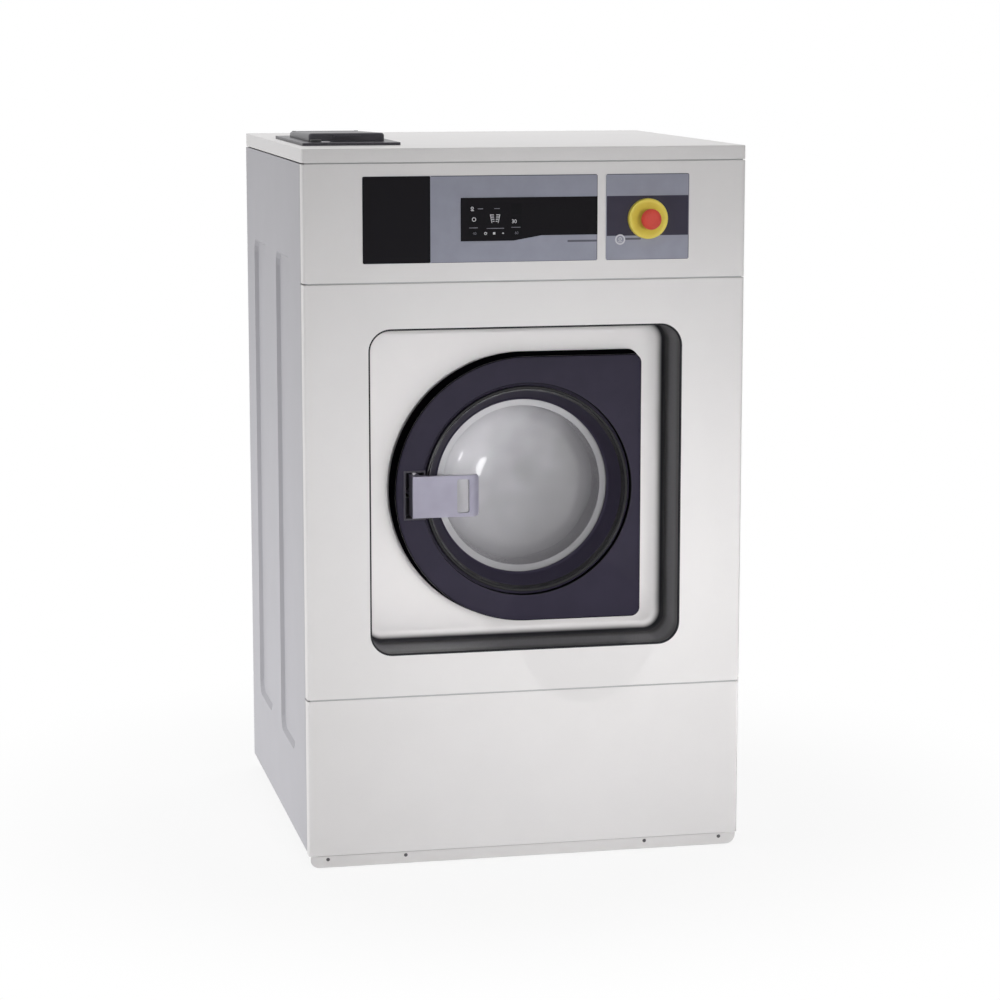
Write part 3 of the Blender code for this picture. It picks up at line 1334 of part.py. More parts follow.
def door_lock(machine):
    """The lock behind the recess floor: the handle's tongue enters its mouth, and a bolt rises through it."""
    start = RECESS_DEPTH + SHEET + FIT
    end = start + LOCK_DEPTH
    left = HANDLE_PIN_X - LOCK_LEFT
    right = left + LOCK_WIDTH
    low, high = HANDLE_Z - LOCK_HEIGHT / 2, HANDLE_Z + LOCK_HEIGHT / 2
    lock = piece("door_lock", "dark_plastic", block((left, start, low), (right, end, high)), machine)
    mouth = block(
        (left + LOCK_WALL, start - OVERRUN, HANDLE_Z - LOCK_MOUTH / 2),
        (right - LOCK_WALL, end - LOCK_WALL, HANDLE_Z + LOCK_MOUTH / 2),
    )
    place = (HANDLE_PIN_X, LOCK_BOLT_Y)
    bore = disc(place, "z", LOCK_BOLT + FIT, low + LOCK_WALL, HANDLE_Z + LOCK_MOUTH, PIN_ROUND)
    cut(lock, mouth, bore)
    top = HANDLE_Z - LOCK_MOUTH / 2
    axis = carrier("lock_bolt_axis", (*place, top), machine)
    piece("lock_bolt", "stainless", disc(place, "z", LOCK_BOLT, low + LOCK_WALL + FIT, top, PIN_ROUND), axis)


def tub(machine):
    centre = (DOOR_X, DOOR_Z)
    plate_end = TUB_START + TUB_PLATE
    flange = TUB_RADIUS + TUB_FLANGE
    neck_front = TUB_START - NECK_LENGTH
    front = [
        (NECK_RADIUS, neck_front),
        (NECK_RADIUS + NECK_WALL, neck_front),
        (NECK_RADIUS + NECK_WALL, TUB_START),
        (flange, TUB_START),
        (flange, plate_end),
        (NECK_RADIUS, plate_end),
    ]
    piece("tub_front", "stainless", turned(front, centre, "y"), machine)
    shell_start = plate_end + FIT
    shell_end = shell_start + TUB_LENGTH
    shell = [
        (TUB_RADIUS, shell_start),
        (TUB_RADIUS + TUB_WALL, shell_start),
        (TUB_RADIUS + TUB_WALL, shell_end),
        (TUB_RADIUS, shell_end),
    ]
    wrap = piece("tub_shell", "stainless", turned(shell, centre, "y"), machine)
    drain_hole_top = DOOR_Z - TUB_RADIUS + DRAIN_BORE
    cut(wrap, disc((DOOR_X, DRAIN_Y), "z", DRAIN_BORE, VALVE_TOP_Z - OVERRUN, drain_hole_top))
    back_end = TUB_BACK_Y + TUB_PLATE
    back = [(TUB_BORE, TUB_BACK_Y), (flange, TUB_BACK_Y), (flange, back_end), (TUB_BORE, back_end)]
    piece("tub_back", "stainless", turned(back, centre, "y"), machine)
    grip = NECK_RADIUS + NECK_WALL + FIT
    outer = grip + SEAL_WALL
    seal = [
        (SEAL_LIP, SEAL_FRONT + SEAL_WALL / 2),
        (SEAL_LIP + SEAL_WALL / 2, SEAL_FRONT),
        (grip, SEAL_FRONT + SEAL_WALL / 4),
        (outer, SEAL_FRONT + SEAL_WALL),
        (outer, neck_front + SEAL_GRIP),
        (grip, neck_front + SEAL_GRIP),
        (grip, neck_front - FIT),
        (SEAL_LIP + SEAL_WALL / 2, neck_front - FIT - SEAL_WALL / 4),
        (SEAL_LIP, SEAL_FRONT + SEAL_WALL * 2),
    ]
    piece("door_gasket", "rubber", turned(seal, centre, "y"), machine)


def lifter(turn):
    """A drum lifter: a ridge with a round top on the inside of the drum."""
    seat = DRUM_RADIUS - DRUM_WALL / 2
    top = seat - LIFTER_HEIGHT
    shoulder = top + LIFTER_HEIGHT / 4
    facet = 2 * pi / ROUND

    def at(radius, angle):
        return Vector((DOOR_X + radius * cos(angle), DOOR_Z + radius * sin(angle)))

    middle = at(seat, turn)
    outline = [middle.lerp(at(seat, turn - facet), LIFTER_FOOT_SHARE), middle]
    outline.append(middle.lerp(at(seat, turn + facet), LIFTER_FOOT_SHARE))
    outline += [at(shoulder, turn + LIFTER_TOP), at(top, turn + LIFTER_TOP / 2)]
    outline += [at(top, turn - LIFTER_TOP / 2), at(shoulder, turn - LIFTER_TOP)]
    start = DRUM_START + DRUM_DISH + LIFTER_MARGIN
    return prism(outline, "y", start, DRUM_BACK_Y - FIT - LIFTER_MARGIN / 2)


def drum(machine):
    centre = (DOOR_X, DOOR_Z)
    spin = carrier("drum_axis", (DOOR_X, DRUM_BACK_Y, DOOR_Z), machine)
    skin = DRUM_RADIUS - DRUM_WALL
    face = DRUM_START + DRUM_DISH
    front = [
        (DRUM_MOUTH, DRUM_START),
        (DRUM_MOUTH + DRUM_LIP / 2, DRUM_START),
        (DRUM_MOUTH + DRUM_LIP, DRUM_START + DRUM_LIP),
        (DRUM_RADIUS, face - DRUM_WALL),
        (DRUM_RADIUS, face),
        (DRUM_MOUTH + DRUM_LIP - DRUM_WALL, DRUM_START + DRUM_LIP + DRUM_WALL),
        (DRUM_MOUTH, DRUM_START + DRUM_WALL * 2),
    ]
    piece("drum_front", "stainless", turned(front, centre, "y"), spin)
    shell = [
        (skin, face + FIT),
        (DRUM_RADIUS, face + FIT),
        (DRUM_RADIUS, DRUM_BACK_Y - FIT),
        (skin, DRUM_BACK_Y - FIT),
    ]
    wrapper = piece("drum_shell", "stainless", turned(shell, centre, "y"), spin)
    turns = [pi / 2 + 2 * pi * number / LIFTER_COUNT for number in range(LIFTER_COUNT)]
    join(wrapper, merge(*[lifter(turn) for turn in turns]))
    back_end = DRUM_BACK_Y + DRUM_WALL
    piece("drum_back", "stainless", disc(centre, "y", DRUM_RADIUS, DRUM_BACK_Y, back_end, ROUND), spin)
    hub_end = SPIDER_Y + SPIDER_WALL
    reach = DRUM_RADIUS - SPIDER_INSET
    spider = piece("drum_spider", "cast_metal", disc(centre, "y", SPIDER_HUB, SPIDER_Y, hub_end), spin)
    root, tip = SPIDER_ARM / 2, SPIDER_ARM / 4
    corners = [(0, -root), (reach, -tip), (reach, tip), (0, root)]
    for turn in turns:
        along, across = Vector((cos(turn), sin(turn))), Vector((-sin(turn), cos(turn)))
        outline = [tuple(Vector(centre) + along * u + across * v) for u, v in corners]
        join(spider, prism(outline, "y", SPIDER_Y, hub_end))
    cut(spider, disc(centre, "y", SHAFT_RADIUS + FIT, SPIDER_Y - OVERRUN, hub_end + OVERRUN))
    shaft_end = PULLEY_Y + PULLEY_WIDTH - FIT
    piece("drum_shaft", "stainless", disc(centre, "y", SHAFT_RADIUS, SPIDER_Y, shaft_end), spin)
    bore = SHAFT_RADIUS + FIT
    rim = PULLEY_RADIUS - PULLEY_RIM
    web = PULLEY_MIDDLE_Y - PULLEY_WEB / 2
    wheel = [
        (bore, PULLEY_Y),
        (PULLEY_HUB, PULLEY_Y),
        (PULLEY_HUB, web),
        (rim, web),
        (rim, PULLEY_Y),
        (PULLEY_RADIUS, PULLEY_Y),
        (PULLEY_RADIUS, PULLEY_Y + PULLEY_WIDTH),
        (rim, PULLEY_Y + PULLEY_WIDTH),
        (rim, web + PULLEY_WEB),
        (PULLEY_HUB, web + PULLEY_WEB),
        (bore, web + PULLEY_WEB),
    ]
    pulley = piece("drum_pulley", "cast_metal", turned(wheel, centre, "y", KNOB_ROUND), spin)
    middle = (PULLEY_HUB + rim) / 2
    holes = []
    for number in range(PULLEY_HOLES):
        turn = 2 * pi * number / PULLEY_HOLES
        place = (DOOR_X + middle * cos(turn), DOOR_Z + middle * sin(turn))
        holes.append(disc(place, "y", PULLEY_HOLE, web - OVERRUN, web + PULLEY_WEB + OVERRUN, BOSS_ROUND))
    cut(pulley, merge(*holes))


def bearings(machine):
    centre = (DOOR_X, DOOR_Z)
    seat = BEARING_RADIUS + FIT
    first = HOUSING_Y + SEAL_WIDTH + 2 * FIT
    second = first + BEARING_PITCH
    end = HOUSING_Y + HOUSING_LENGTH
    housing = [
        (seat, HOUSING_Y),
        (HOUSING_FLANGE, HOUSING_Y),
        (HOUSING_FLANGE, HOUSING_Y + HOUSING_FLANGE_WALL),
        (HOUSING_ROOT, HOUSING_Y + 2 * HOUSING_FLANGE_WALL),
        (HOUSING_BODY, end),
        (seat, end),
        (seat, second - FIT),
        (seat - BEARING_SHOULDER, second - FIT),
        (seat - BEARING_SHOULDER, first + BEARING_WIDTH + FIT),
        (seat, first + BEARING_WIDTH + FIT),
    ]
    piece("bearing_housing", "cast_metal", turned(housing, centre, "y", SMALL_ROUND), machine)
    bore = SHAFT_RADIUS + SHAFT_RUN

    def ring(start, width):
        end = start + width
        corners = [(bore, start), (BEARING_RADIUS, start), (BEARING_RADIUS, end), (bore, end)]
        return turned(corners, centre, "y", SMALL_ROUND)

    piece("bearing_front", "stainless", ring(first, BEARING_WIDTH), machine)
    piece("bearing_rear", "stainless", ring(second, BEARING_WIDTH), machine)
    piece("shaft_seal", "rubber", ring(HOUSING_Y + FIT, SEAL_WIDTH), machine)


def belt_outline(grow):
    """The belt's line round the drum pulley and the motor pulley."""
    along = Vector((MOTOR_X - DOOR_X, MOTOR_Z - DOOR_Z))
    lean = atan2(along.y, along.x)
    large, small = PULLEY_RADIUS + 3 * FIT + grow, MOTOR_PULLEY_RADIUS + FIT + grow
    spread = acos((large - small) / along.length)
    points = arc((DOOR_X, DOOR_Z), large, lean + spread, lean + 2 * pi - spread, ROUND)
    return points + arc((MOTOR_X, MOTOR_Z), small, lean - spread, lean + spread, PIPE_ROUND)


def belt_drive(machine):
    low, high = PULLEY_MIDDLE_Y - BELT_WIDTH / 2, PULLEY_MIDDLE_Y + BELT_WIDTH / 2
    inner, outer = belt_outline(0), belt_outline(BELT_WALL)
    rows = [(inner, low), (outer, low), (outer, high), (inner, high)]
    loops = [placed(outline, "y", level) for outline, level in rows]
    piece("drive_belt", "rubber", lofted(loops, ring=True), machine)
    centre = (MOTOR_X, MOTOR_Z)
    outline = []
    for number in range(4 * MOTOR_FINS):
        turn = 2 * pi * number / (4 * MOTOR_FINS)
        radius = MOTOR_RADIUS - (MOTOR_FIN if number % 4 > 1 else 0)
        outline.append((MOTOR_X + radius * cos(turn), MOTOR_Z + radius * sin(turn)))
    start = MOTOR_BACK_Y - MOTOR_LENGTH
    cap = MOTOR_CAP
    body = piece("motor_body", "cast_metal", prism(outline, "y", start + cap, MOTOR_BACK_Y - cap), machine)
    for low_y, high_y in ((start, start + cap + OVERRUN), (MOTOR_BACK_Y - cap - OVERRUN, MOTOR_BACK_Y)):
        join(body, disc(centre, "y", MOTOR_SHIELD, low_y, high_y, KNOB_ROUND))
    plate_top = BASE_HEIGHT + FIT + MOTOR_PLATE
    foot_half = MOTOR_FOOT_SPREAD / 2
    feet = []
    for y in (start + cap, MOTOR_BACK_Y - cap - MOTOR_FOOT):
        corner = (MOTOR_X - foot_half, y, plate_top + FIT)
        feet.append(block(corner, (MOTOR_X + foot_half, y + MOTOR_FOOT, MOTOR_Z - MOTOR_FOOT_DROP)))
    join(body, merge(*feet))
    cut(body, disc(centre, "y", MOTOR_SHAFT + FIT, MOTOR_BACK_Y - MOTOR_SHAFT_SINK, MOTOR_BACK_Y + OVERRUN))
    half = MOTOR_PLATE_WIDTH / 2
    member = cradle_places()[1]
    piece(
        "motor_plate",
        "frame_steel",
        block(
            (MOTOR_X - half, member + CRADLE_WALL + FIT, BASE_HEIGHT + FIT),
            (MOTOR_X + half, BACK_FACE_Y - BASE_WALL, plate_top),
        ),
        machine,
    )
    spin = carrier("motor_axis", (MOTOR_X, MOTOR_BACK_Y, MOTOR_Z), machine)
    front = MOTOR_BACK_Y - MOTOR_SHAFT_SINK + FIT
    end = PULLEY_Y + PULLEY_WIDTH
    face = PULLEY_MIDDLE_Y - BELT_WIDTH / 2 - FIT
    rear = PULLEY_MIDDLE_Y + BELT_WIDTH / 2 + FIT
    flange = MOTOR_PULLEY_RADIUS + PULLEY_FLANGE
    rotor = [
        (0, front),
        (MOTOR_SHAFT, front),
        (MOTOR_SHAFT, face - PULLEY_FLANGE),
        (flange, face - PULLEY_FLANGE),
        (flange, face),
        (MOTOR_PULLEY_RADIUS, face),
        (MOTOR_PULLEY_RADIUS, rear),
        (flange, rear),
        (flange, end),
        (0, end),
    ]
    piece("motor_rotor", "cast_metal", turned(rotor, centre, "y", SMALL_ROUND), spin)


def drain(machine):
    """A butterfly valve that is saddled under the tub, its moulded-on actuator, and the pipe to the rear."""
    centre = (DOOR_X, DRAIN_Y)
    outer = DRAIN_BORE + DRAIN_WALL
    body = DRAIN_BORE + VALVE_WALL
    profile = [
        (DRAIN_BORE, VALVE_TOP_Z + VALVE_SADDLE),
        (outer, VALVE_TOP_Z + VALVE_SADDLE),
        (outer, VALVE_BODY_TOP_Z),
        (body, VALVE_BODY_TOP_Z),
        (body, VALVE_BOTTOM_Z),
        (DRAIN_BORE, VALVE_BOTTOM_Z),
    ]
    valve = piece("drain_valve", "grey_plastic", turned(profile, centre, "z", SMALL_ROUND), machine)
    axis_place = (DRAIN_Y, VALVE_MIDDLE_Z)
    half_y, half_z = ACTUATOR_DEPTH / 2, ACTUATOR_HEIGHT / 2
    start = DOOR_X + body
    drive = block(
        (start - VALVE_WALL / 2, DRAIN_Y - half_y, VALVE_MIDDLE_Z - half_z),
        (start + ACTUATOR_WIDTH, DRAIN_Y + half_y, VALVE_MIDDLE_Z + half_z),
    )
    join(valve, drive)
    cut(valve, disc((DOOR_X, DOOR_Z), "y", TUB_OUTER + FIT, DRAIN_Y - body, DRAIN_Y + body, ROUND))
    tip = start + ACTUATOR_SINK
    cut(valve, disc(axis_place, "x", SPINDLE + FIT, DOOR_X, tip + FIT, PIN_ROUND))
    turn = carrier("drain_disc_axis", (DOOR_X, DRAIN_Y, VALVE_MIDDLE_Z), machine)
    low, high = VALVE_MIDDLE_Z - DISC_WALL / 2, VALVE_MIDDLE_Z + DISC_WALL / 2
    radius = DRAIN_BORE - DISC_CLEAR
    flap = piece("drain_disc", "stainless", disc(centre, "z", radius, low, high), turn)
    join(flap, disc(axis_place, "x", SPINDLE, DOOR_X - radius + SPINDLE, tip, PIN_ROUND))
    z = DRAIN_PIPE_Z
    curved = bend((DOOR_X, DRAIN_Y, z), (0, 0, -1), (0, 1, 0), DRAIN_BEND)
    path = [(DOOR_X, DRAIN_Y, VALVE_BOTTOM_Z - FIT)] + curved + [(DOOR_X, REAR_Y, z)]
    tube = piece("drain_pipe", "grey_plastic", pipe(path, outer, PIPE_ROUND), machine)
    bore_path = [(DOOR_X, DRAIN_Y, VALVE_BOTTOM_Z + OVERRUN)] + curved + [(DOOR_X, REAR_Y + OVERRUN, z)]
    cut(tube, pipe(bore_path, DRAIN_BORE, PIPE_ROUND))


def hopper_outlet():
    """The middle of the hopper's floor, where the filling hose starts."""
    return HOPPER_X, HOPPER_Y + HOPPER_DEPTH / 2, CABINET_HEIGHT - HOPPER_SINK - FIT


def water(machine):
    """The twin inlet valve at the rear and the hose from the hopper down to the tub."""
    places = inlet_places()
    half = INLET_BODY / 2
    (first, z), (last, _) = places
    start, back = CABINET_DEPTH - INLET_INSIDE, BACK_FACE_Y - FIT
    body = block((first - half, start, z - half), (last + half, back, z + half))
    valve = piece("inlet_valve", "brass", body, machine)
    root, end = BACK_FACE_Y - half, CABINET_DEPTH + INLET_REACH
    join(valve, merge(*[disc(place, "y", INLET_RADIUS, root, end, PIN_ROUND) for place in places]))
    mouth = end + OVERRUN
    cut(valve, merge(*[disc(place, "y", INLET_BORE, BACK_FACE_Y, mouth, PIN_ROUND) for place in places]))
    start = Vector(hopper_outlet())
    facet = 2 * pi / ROUND
    lean = facet * HOSE_MEET_FACETS
    out = Vector((-sin(lean), 0, cos(lean)))
    meet = Vector((DOOR_X, start.y, DOOR_Z)) + out * (TUB_OUTER * cos(facet / 2) + FIT)
    down = Vector((0, 0, -1))

    def route(extra):
        near, far = start + down * HOSE_RADIUS, meet + out * HOSE_RADIUS
        middle = curve(near, near + down * HOSE_EASE, far + out * HOSE_EASE, far, HOSE_STEPS)
        return [start - down * extra, near, *middle, far, meet - out * extra]

    hose = piece("fill_hose", "rubber", pipe(route(0), HOSE_RADIUS), machine)
    cut(hose, pipe(route(OVERRUN), HOSE_BORE))


def electrics(machine):
    right = HALF_WIDTH - BOX_FROM_SIDE
    top = FASCIA_TOP_Z - BOX_FROM_TOP
    back = BACK_FACE_Y - FIT
    piece(
        "electrical_box",
        "grey_plastic",
        block((right - BOX_WIDTH, back - BOX_DEPTH, top - BOX_HEIGHT), (right, back, top)),
        machine,
    )
    face = CABINET_DEPTH + FIT
    profile = [
        (GLAND_BORE, face),
        (GLAND_RADIUS, face),
        (GLAND_RADIUS, face + GLAND_NUT),
        (GLAND_NECK, face + GLAND_NUT + GLAND_TAPER),
        (GLAND_TIP, face + GLAND_REACH),
        (GLAND_BORE, face + GLAND_REACH),
    ]
    piece("cable_gland", "dark_plastic", turned(profile, gland_place(), "y", PIN_ROUND), machine)


def build():
    for old in list(bpy.data.objects):
        bpy.data.objects.remove(old, do_unlink=True)
    machine = carrier("machine", (0, 0, 0))
    machine.location = (0, -(REAR_Y + HEAD_FRONT_Y) / 2, 0)
    base_frame(machine)
    side_frame("side_frame_left", -1, machine)
    side_frame("side_frame_right", 1, machine)
    for name, place in zip(("tub_cradle_front", "tub_cradle_rear"), cradle_places()):
        cradle(name, place, machine)
    side_panel("side_panel_left", -1, machine)
    side_panel("side_panel_right", 1, machine)
    rear_panel(machine)
    top_cover(machine)
    fascia_panel(machine)
    overlays(machine)
    emergency_stop(machine)
    front_panel(machine)
    folded_panel("kick_panel", KICK_BOTTOM, KICK_TOP_Z, machine, floor=False)
    soap_hopper(machine)
    door = carrier("door_axis", (HINGE_X, HINGE_Y, DOOR_Z), machine)
    door_cover(door)
    funnel = turned(bezel_profile(), (DOOR_X, DOOR_Z), "y", DOOR_ROUND)
    bezel = piece("door_bezel", "black_plastic", funnel, door)
    cut(bezel, housing_form(FIT, -OVERRUN))
    door_frame(door)
    door_glass(door)
    door_handle(door)
    hinge_bracket(machine)
    door_lock(machine)
    tub(machine)
    drum(machine)
    bearings(machine)
    belt_drive(machine)
    drain(machine)
    water(machine)
    electrics(machine)


build()
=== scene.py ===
"""Looks of a front-loading washer-extractor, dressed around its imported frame.

Laid out as a Blender add-on and run as a script. Lengths are metres in the frame's axes: +X right, +Y to
the back and +Z up.
"""

import json
from math import atan2, cos, hypot, pi, radians, sin

import bmesh
import bpy
from bpy.props import FloatProperty, FloatVectorProperty, IntProperty, PointerProperty
from bpy.types import Operator, Panel, PropertyGroup
from mathutils import Matrix, Vector


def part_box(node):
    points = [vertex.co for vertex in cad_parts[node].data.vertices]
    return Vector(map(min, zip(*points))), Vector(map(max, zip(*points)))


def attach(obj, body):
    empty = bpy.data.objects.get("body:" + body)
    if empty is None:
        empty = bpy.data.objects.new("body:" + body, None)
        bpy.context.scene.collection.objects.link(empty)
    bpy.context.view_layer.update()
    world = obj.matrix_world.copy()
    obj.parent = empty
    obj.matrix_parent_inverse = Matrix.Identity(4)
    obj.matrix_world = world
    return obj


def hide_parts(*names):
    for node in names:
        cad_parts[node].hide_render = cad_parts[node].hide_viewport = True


bl_info = {
    "name": "Washer-extractor",
    "version": (1, 0, 0),
    "blender": (4, 5, 0),
    "location": "View3D > Sidebar > Washer",
    "description": "Dresses the frame of a front-loading washer-extractor",
    "category": "Object",
}

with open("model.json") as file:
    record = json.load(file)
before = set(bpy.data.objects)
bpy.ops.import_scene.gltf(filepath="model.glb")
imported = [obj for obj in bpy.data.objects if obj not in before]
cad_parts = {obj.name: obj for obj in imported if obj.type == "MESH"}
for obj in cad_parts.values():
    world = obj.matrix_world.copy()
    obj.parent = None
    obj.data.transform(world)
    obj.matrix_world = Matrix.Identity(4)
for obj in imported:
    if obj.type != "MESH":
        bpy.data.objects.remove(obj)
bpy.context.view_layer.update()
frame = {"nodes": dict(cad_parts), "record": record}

# Places that follow the frame
PANEL_LOW, PANEL_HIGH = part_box("front_panel")
DRUM_LOW, DRUM_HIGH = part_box("drum_back")
FRONT_Y = PANEL_LOW.y
HALF_WIDTH = (PANEL_HIGH.x - PANEL_LOW.x) / 2
AXIS_X = (DRUM_LOW.x + DRUM_HIGH.x) / 2
AXIS_Z = (DRUM_LOW.z + DRUM_HIGH.z) / 2
AXIS = (AXIS_X, AXIS_Z)

# Fineness of the round forms
FINE = 160
MEDIUM = 96
SMALL = 48
CORNER_STEPS = 12
SIDE_STEPS = 6
SMOOTH_ANGLE = radians(38)
WHITE = (1.0, 1.0, 1.0, 1.0)

# A hair's gap between pieces, the fit of a moulding in its pocket, and how far a cut runs past a face
HAIR = 0.0001
FIT = 3 * HAIR
OVERRUN = 0.004

# Stretches of a noise: none, upright, into the machine, round the drum, and turned on a lathe
EVEN = (1.0, 1.0, 1.0)
UPRIGHT = (1.0, 1.0, 0.03)
INWARD = (1.0, 0.05, 1.0)
ROUND = (0.2, 1.0, 0.2)
TURNED = (0.02, 1.0, 0.02)

# The slot for the handle's tongue, as it stands about the handle's pin
SLOT_LEFT = 0.012
SLOT_RIGHT = 0.016
SLOT_HALF_HEIGHT = 0.008

# Width of the rounded edges of small pieces, and of the edges of the frame's own pieces
SMALL_EDGE = 0.0004
EDGES = {
    "top_cover": 0.0015,
    "fascia_panel": 0.0012,
    "kick_panel": 0.0012,
    "side_panel_left": 0.0015,
    "side_panel_right": 0.0015,
    "rear_panel": 0.0003,
    "base_frame": 0.0012,
    "door_frame": 0.0010,
    "hinge_bracket": 0.0008,
    "handle_housing": 0.0006,
    "soap_lock": 0.0006,
    "motor_body": 0.0020,
    "inlet_valve": 0.0010,
    "electrical_box": 0.0020,
}


def linear(code):
    """An sRGB hex colour as linear red, green, blue and alpha."""
    values = [int(code[place:place + 2], 16) / 255 for place in (1, 3, 5)]
    return tuple(v / 12.92 if v <= 0.04045 else ((v + 0.055) / 1.055) ** 2.4 for v in values) + (1.0,)


def size(name, text, default):
    return FloatProperty(
        name=name, description=text, default=default, unit="LENGTH", subtype="DISTANCE", precision=4
    )


def number(name, text, default, unit="NONE"):
    return FloatProperty(name=name, description=text, default=default, unit=unit)


def angle(name, text, degrees):
    return FloatProperty(name=name, description=text, default=radians(degrees), subtype="ANGLE")


def count(name, text, default):
    return IntProperty(name=name, description=text, default=default, min=1)


def colour(name, text, code):
    return FloatVectorProperty(
        name=name, description=text, default=linear(code), subtype="COLOR", size=4, min=0.0, max=1.0
    )


class WasherFrontSizes(PropertyGroup):
    """Sizes of the front panel and its recess"""

    corner: size("Corner", "Radius of the upright corners", 0.004)
    edge: size("Edge", "Radius of the level edges", 0.0008)
    wrap: size("Wrap", "Depth of the returns along the sides", 0.021)
    sheet: size("Sheet", "Thickness of the sheet", 0.0012)
    recess_width: size("Recess width", "Width of the pressed recess", 0.4878)
    recess_height: size("Recess height", "Height of the pressed recess", 0.5013)
    recess_sill: size("Recess sill", "Height from the panel's lower edge to the recess", 0.0677)
    recess_depth: size("Recess depth", "Depth of the recess", 0.100)
    recess_corner: size("Recess corner", "Radius of the recess's corners", 0.032)
    lip: size("Lip", "Radius that rolls into the recess", 0.003)
    fillet: size("Fillet", "Radius between the walls and the recess floor", 0.016)
    hole: size("Hole", "Radius of the door's hole in the recess floor", 0.158)


class WasherTrimSizes(PropertyGroup):
    """Sizes of the base strip and of the backings behind the seams"""

    strip_inset: size("Strip inset", "How far the base strip's ends stand in from the panel's sides", 0.0030)
    strip_gap: size("Strip gap", "Gap above, below and in front of the base strip", 0.0008)
    strip_corner: size("Strip corner", "Radius of the base strip's lower corners", 0.0140)
    strip_wall: size("Strip wall", "Thickness of the base strip and of the seam's backings", 0.0012)
    strip_lean: size("Strip lean", "How far the base strip's foot leans back", 0.0050)
    backing_lap: size("Backing lap", "How far a seam's backing reaches behind the panels", 0.0015)
    backing_inset: size("Backing inset", "How far a seam's backing ends before the panel's sides", 0.0045)
    backing_depth: size("Backing depth", "Depth of a seam's backing behind the face", 0.0016)


class WasherDoorSizes(PropertyGroup):
    """Sizes of the door's cover, its bezel and its glass, most about the door's axis"""

    radius: size("Radius", "Radius of the cover's round side", 0.2135)
    reach: size("Reach", "Distance from the door's axis to the cover's straight side", 0.188)
    corner: size("Corner", "Radius of the cover's two corners", 0.018)
    front: size("Front", "Depth of the cover's face behind the cabinet's face", 0.050)
    depth: size("Depth", "Depth of the cover's walls", 0.038)
    draft: size("Draft", "How far the walls lean in", 0.004)
    edge: size("Edge", "Radius round the cover's face", 0.0035)
    wall: size("Wall", "Thickness of the cover", 0.003)
    crown: size("Crown", "Radius of the raised round field on the face", 0.2035)
    crown_step: size("Crown step", "Height of the raised round field", 0.0006)
    hole: size("Hole", "Radius of the cover's hole", 0.1677)
    rim: size("Rim", "Depth of the hole's wall", 0.012)
    groove: size("Groove", "Gap between the cover and the bezel", 0.0050)
    shoulder: size("Shoulder", "Depth of the steep wall inside the bezel", 0.0120)
    bezel_depth: size("Bezel depth", "Depth from the cover's face to the glass", 0.0425)
    sight: size("Sight", "Radius of the glass that shows", 0.1376)
    glass_radius: size("Glass radius", "Radius of the glass's flange", 0.1465)
    glass_wall: size("Glass wall", "Thickness of the glass", 0.006)
    throat: size("Throat", "Radius of the bowl behind its flange", 0.1335)
    bulge: size("Bulge", "Depth of the bowl", 0.0875)


class WasherHandleSizes(PropertyGroup):
    """Sizes of the pull handle"""

    wall: size("Wall", "Thickness of the plate", 0.008)
    bar: size("Bar", "Width of the bar at the free end", 0.0166)
    window: size("Window", "Width of the window beside the bar", 0.0194)
    margin: size("Margin", "Material above and below the window", 0.006)
    curl: size("Curl", "How far the bar curls back", 0.010)
    neck: size("Neck", "Width of the neck on the pin", 0.014)
    edge: size("Edge", "Radius of the edges", 0.0016)
    tongue_width: size("Tongue width", "Width of the lock's tongue", 0.012)
    tongue_wall: size("Tongue thickness", "Thickness of the lock's tongue", 0.005)


class WasherControlSizes(PropertyGroup):
    """Sizes of what is printed on the control overlays"""

    foil: size("Foil", "How far a printed field stands proud of the overlay", 0.00015)
    square: size("Square", "Width of the dark square at the left", 0.104)
    rim: size("Rim", "Width of the darker rim along the overlays", 0.0012)
    band_top: size("Band top", "Distance from the overlay's top to the dark band", 0.0336)
    band_height: size("Band height", "Height of the dark band", 0.0610)
    ink: size("Ink", "Thickness of the printed signs", 0.00012)
    symbol: size("Symbol", "Radius of the ring symbol", 0.0080)


class WasherStopSizes(PropertyGroup):
    """Sizes of the emergency stop"""

    collar: size("Collar", "Radius of the yellow collar", 0.031)
    head: size("Head", "Radius of the red head", 0.016)
    waist: size("Waist", "Radius of the head's neck", 0.011)


class WasherSoapSizes(PropertyGroup):
    """Sizes of the soap dispenser's lid"""

    lid_corner: size("Lid corner", "Radius of the lid's corners", 0.009)
    lid_edge: size("Lid edge", "Radius of the lid's upper edge", 0.0045)
    lid_wall: size("Lid wall", "Thickness of the lid", 0.0025)
    slope: size("Slope", "How far the lid's top falls to the back", 0.005)


class WasherDrumSizes(PropertyGroup):
    """Sizes of the drum's perforations and lifters"""

    pitch: size("Pitch", "Distance between the perforations", 0.016)
    bore: size("Bore", "Radius of a perforation", 0.0021)
    lifter_height: size("Lifter height", "Height of a lifter", 0.055)
    lifter_foot: size("Lifter foot", "Half the width of a lifter's foot", 0.045)
    lifter_top: size("Lifter top", "Half the width of a lifter's top", 0.011)
    lifters: count("Lifters", "Number of lifters, and of ribs pressed in the drum's back", 3)


class WasherScrewSizes(PropertyGroup):
    """Sizes and places of the screws"""

    head: size("Head", "Radius of a screw head", 0.0042)
    height: size("Height", "Height of a screw head", 0.0016)
    socket: size("Socket", "Radius of the head's socket", 0.0019)
    small: number("Small", "Size of the strip's screws to the others", 0.7)
    inner: size("Inner", "Distance of the strip's inner screws from the middle", 0.193)
    outer: size("Outer", "Distance of the strip's outer screws from the middle", 0.316)
    level: size("Level", "Height of the strip's screws", 0.0150)
    seat: size("Seat", "Depth of the strip's face behind the cabinet's face at the screws", 0.0024)


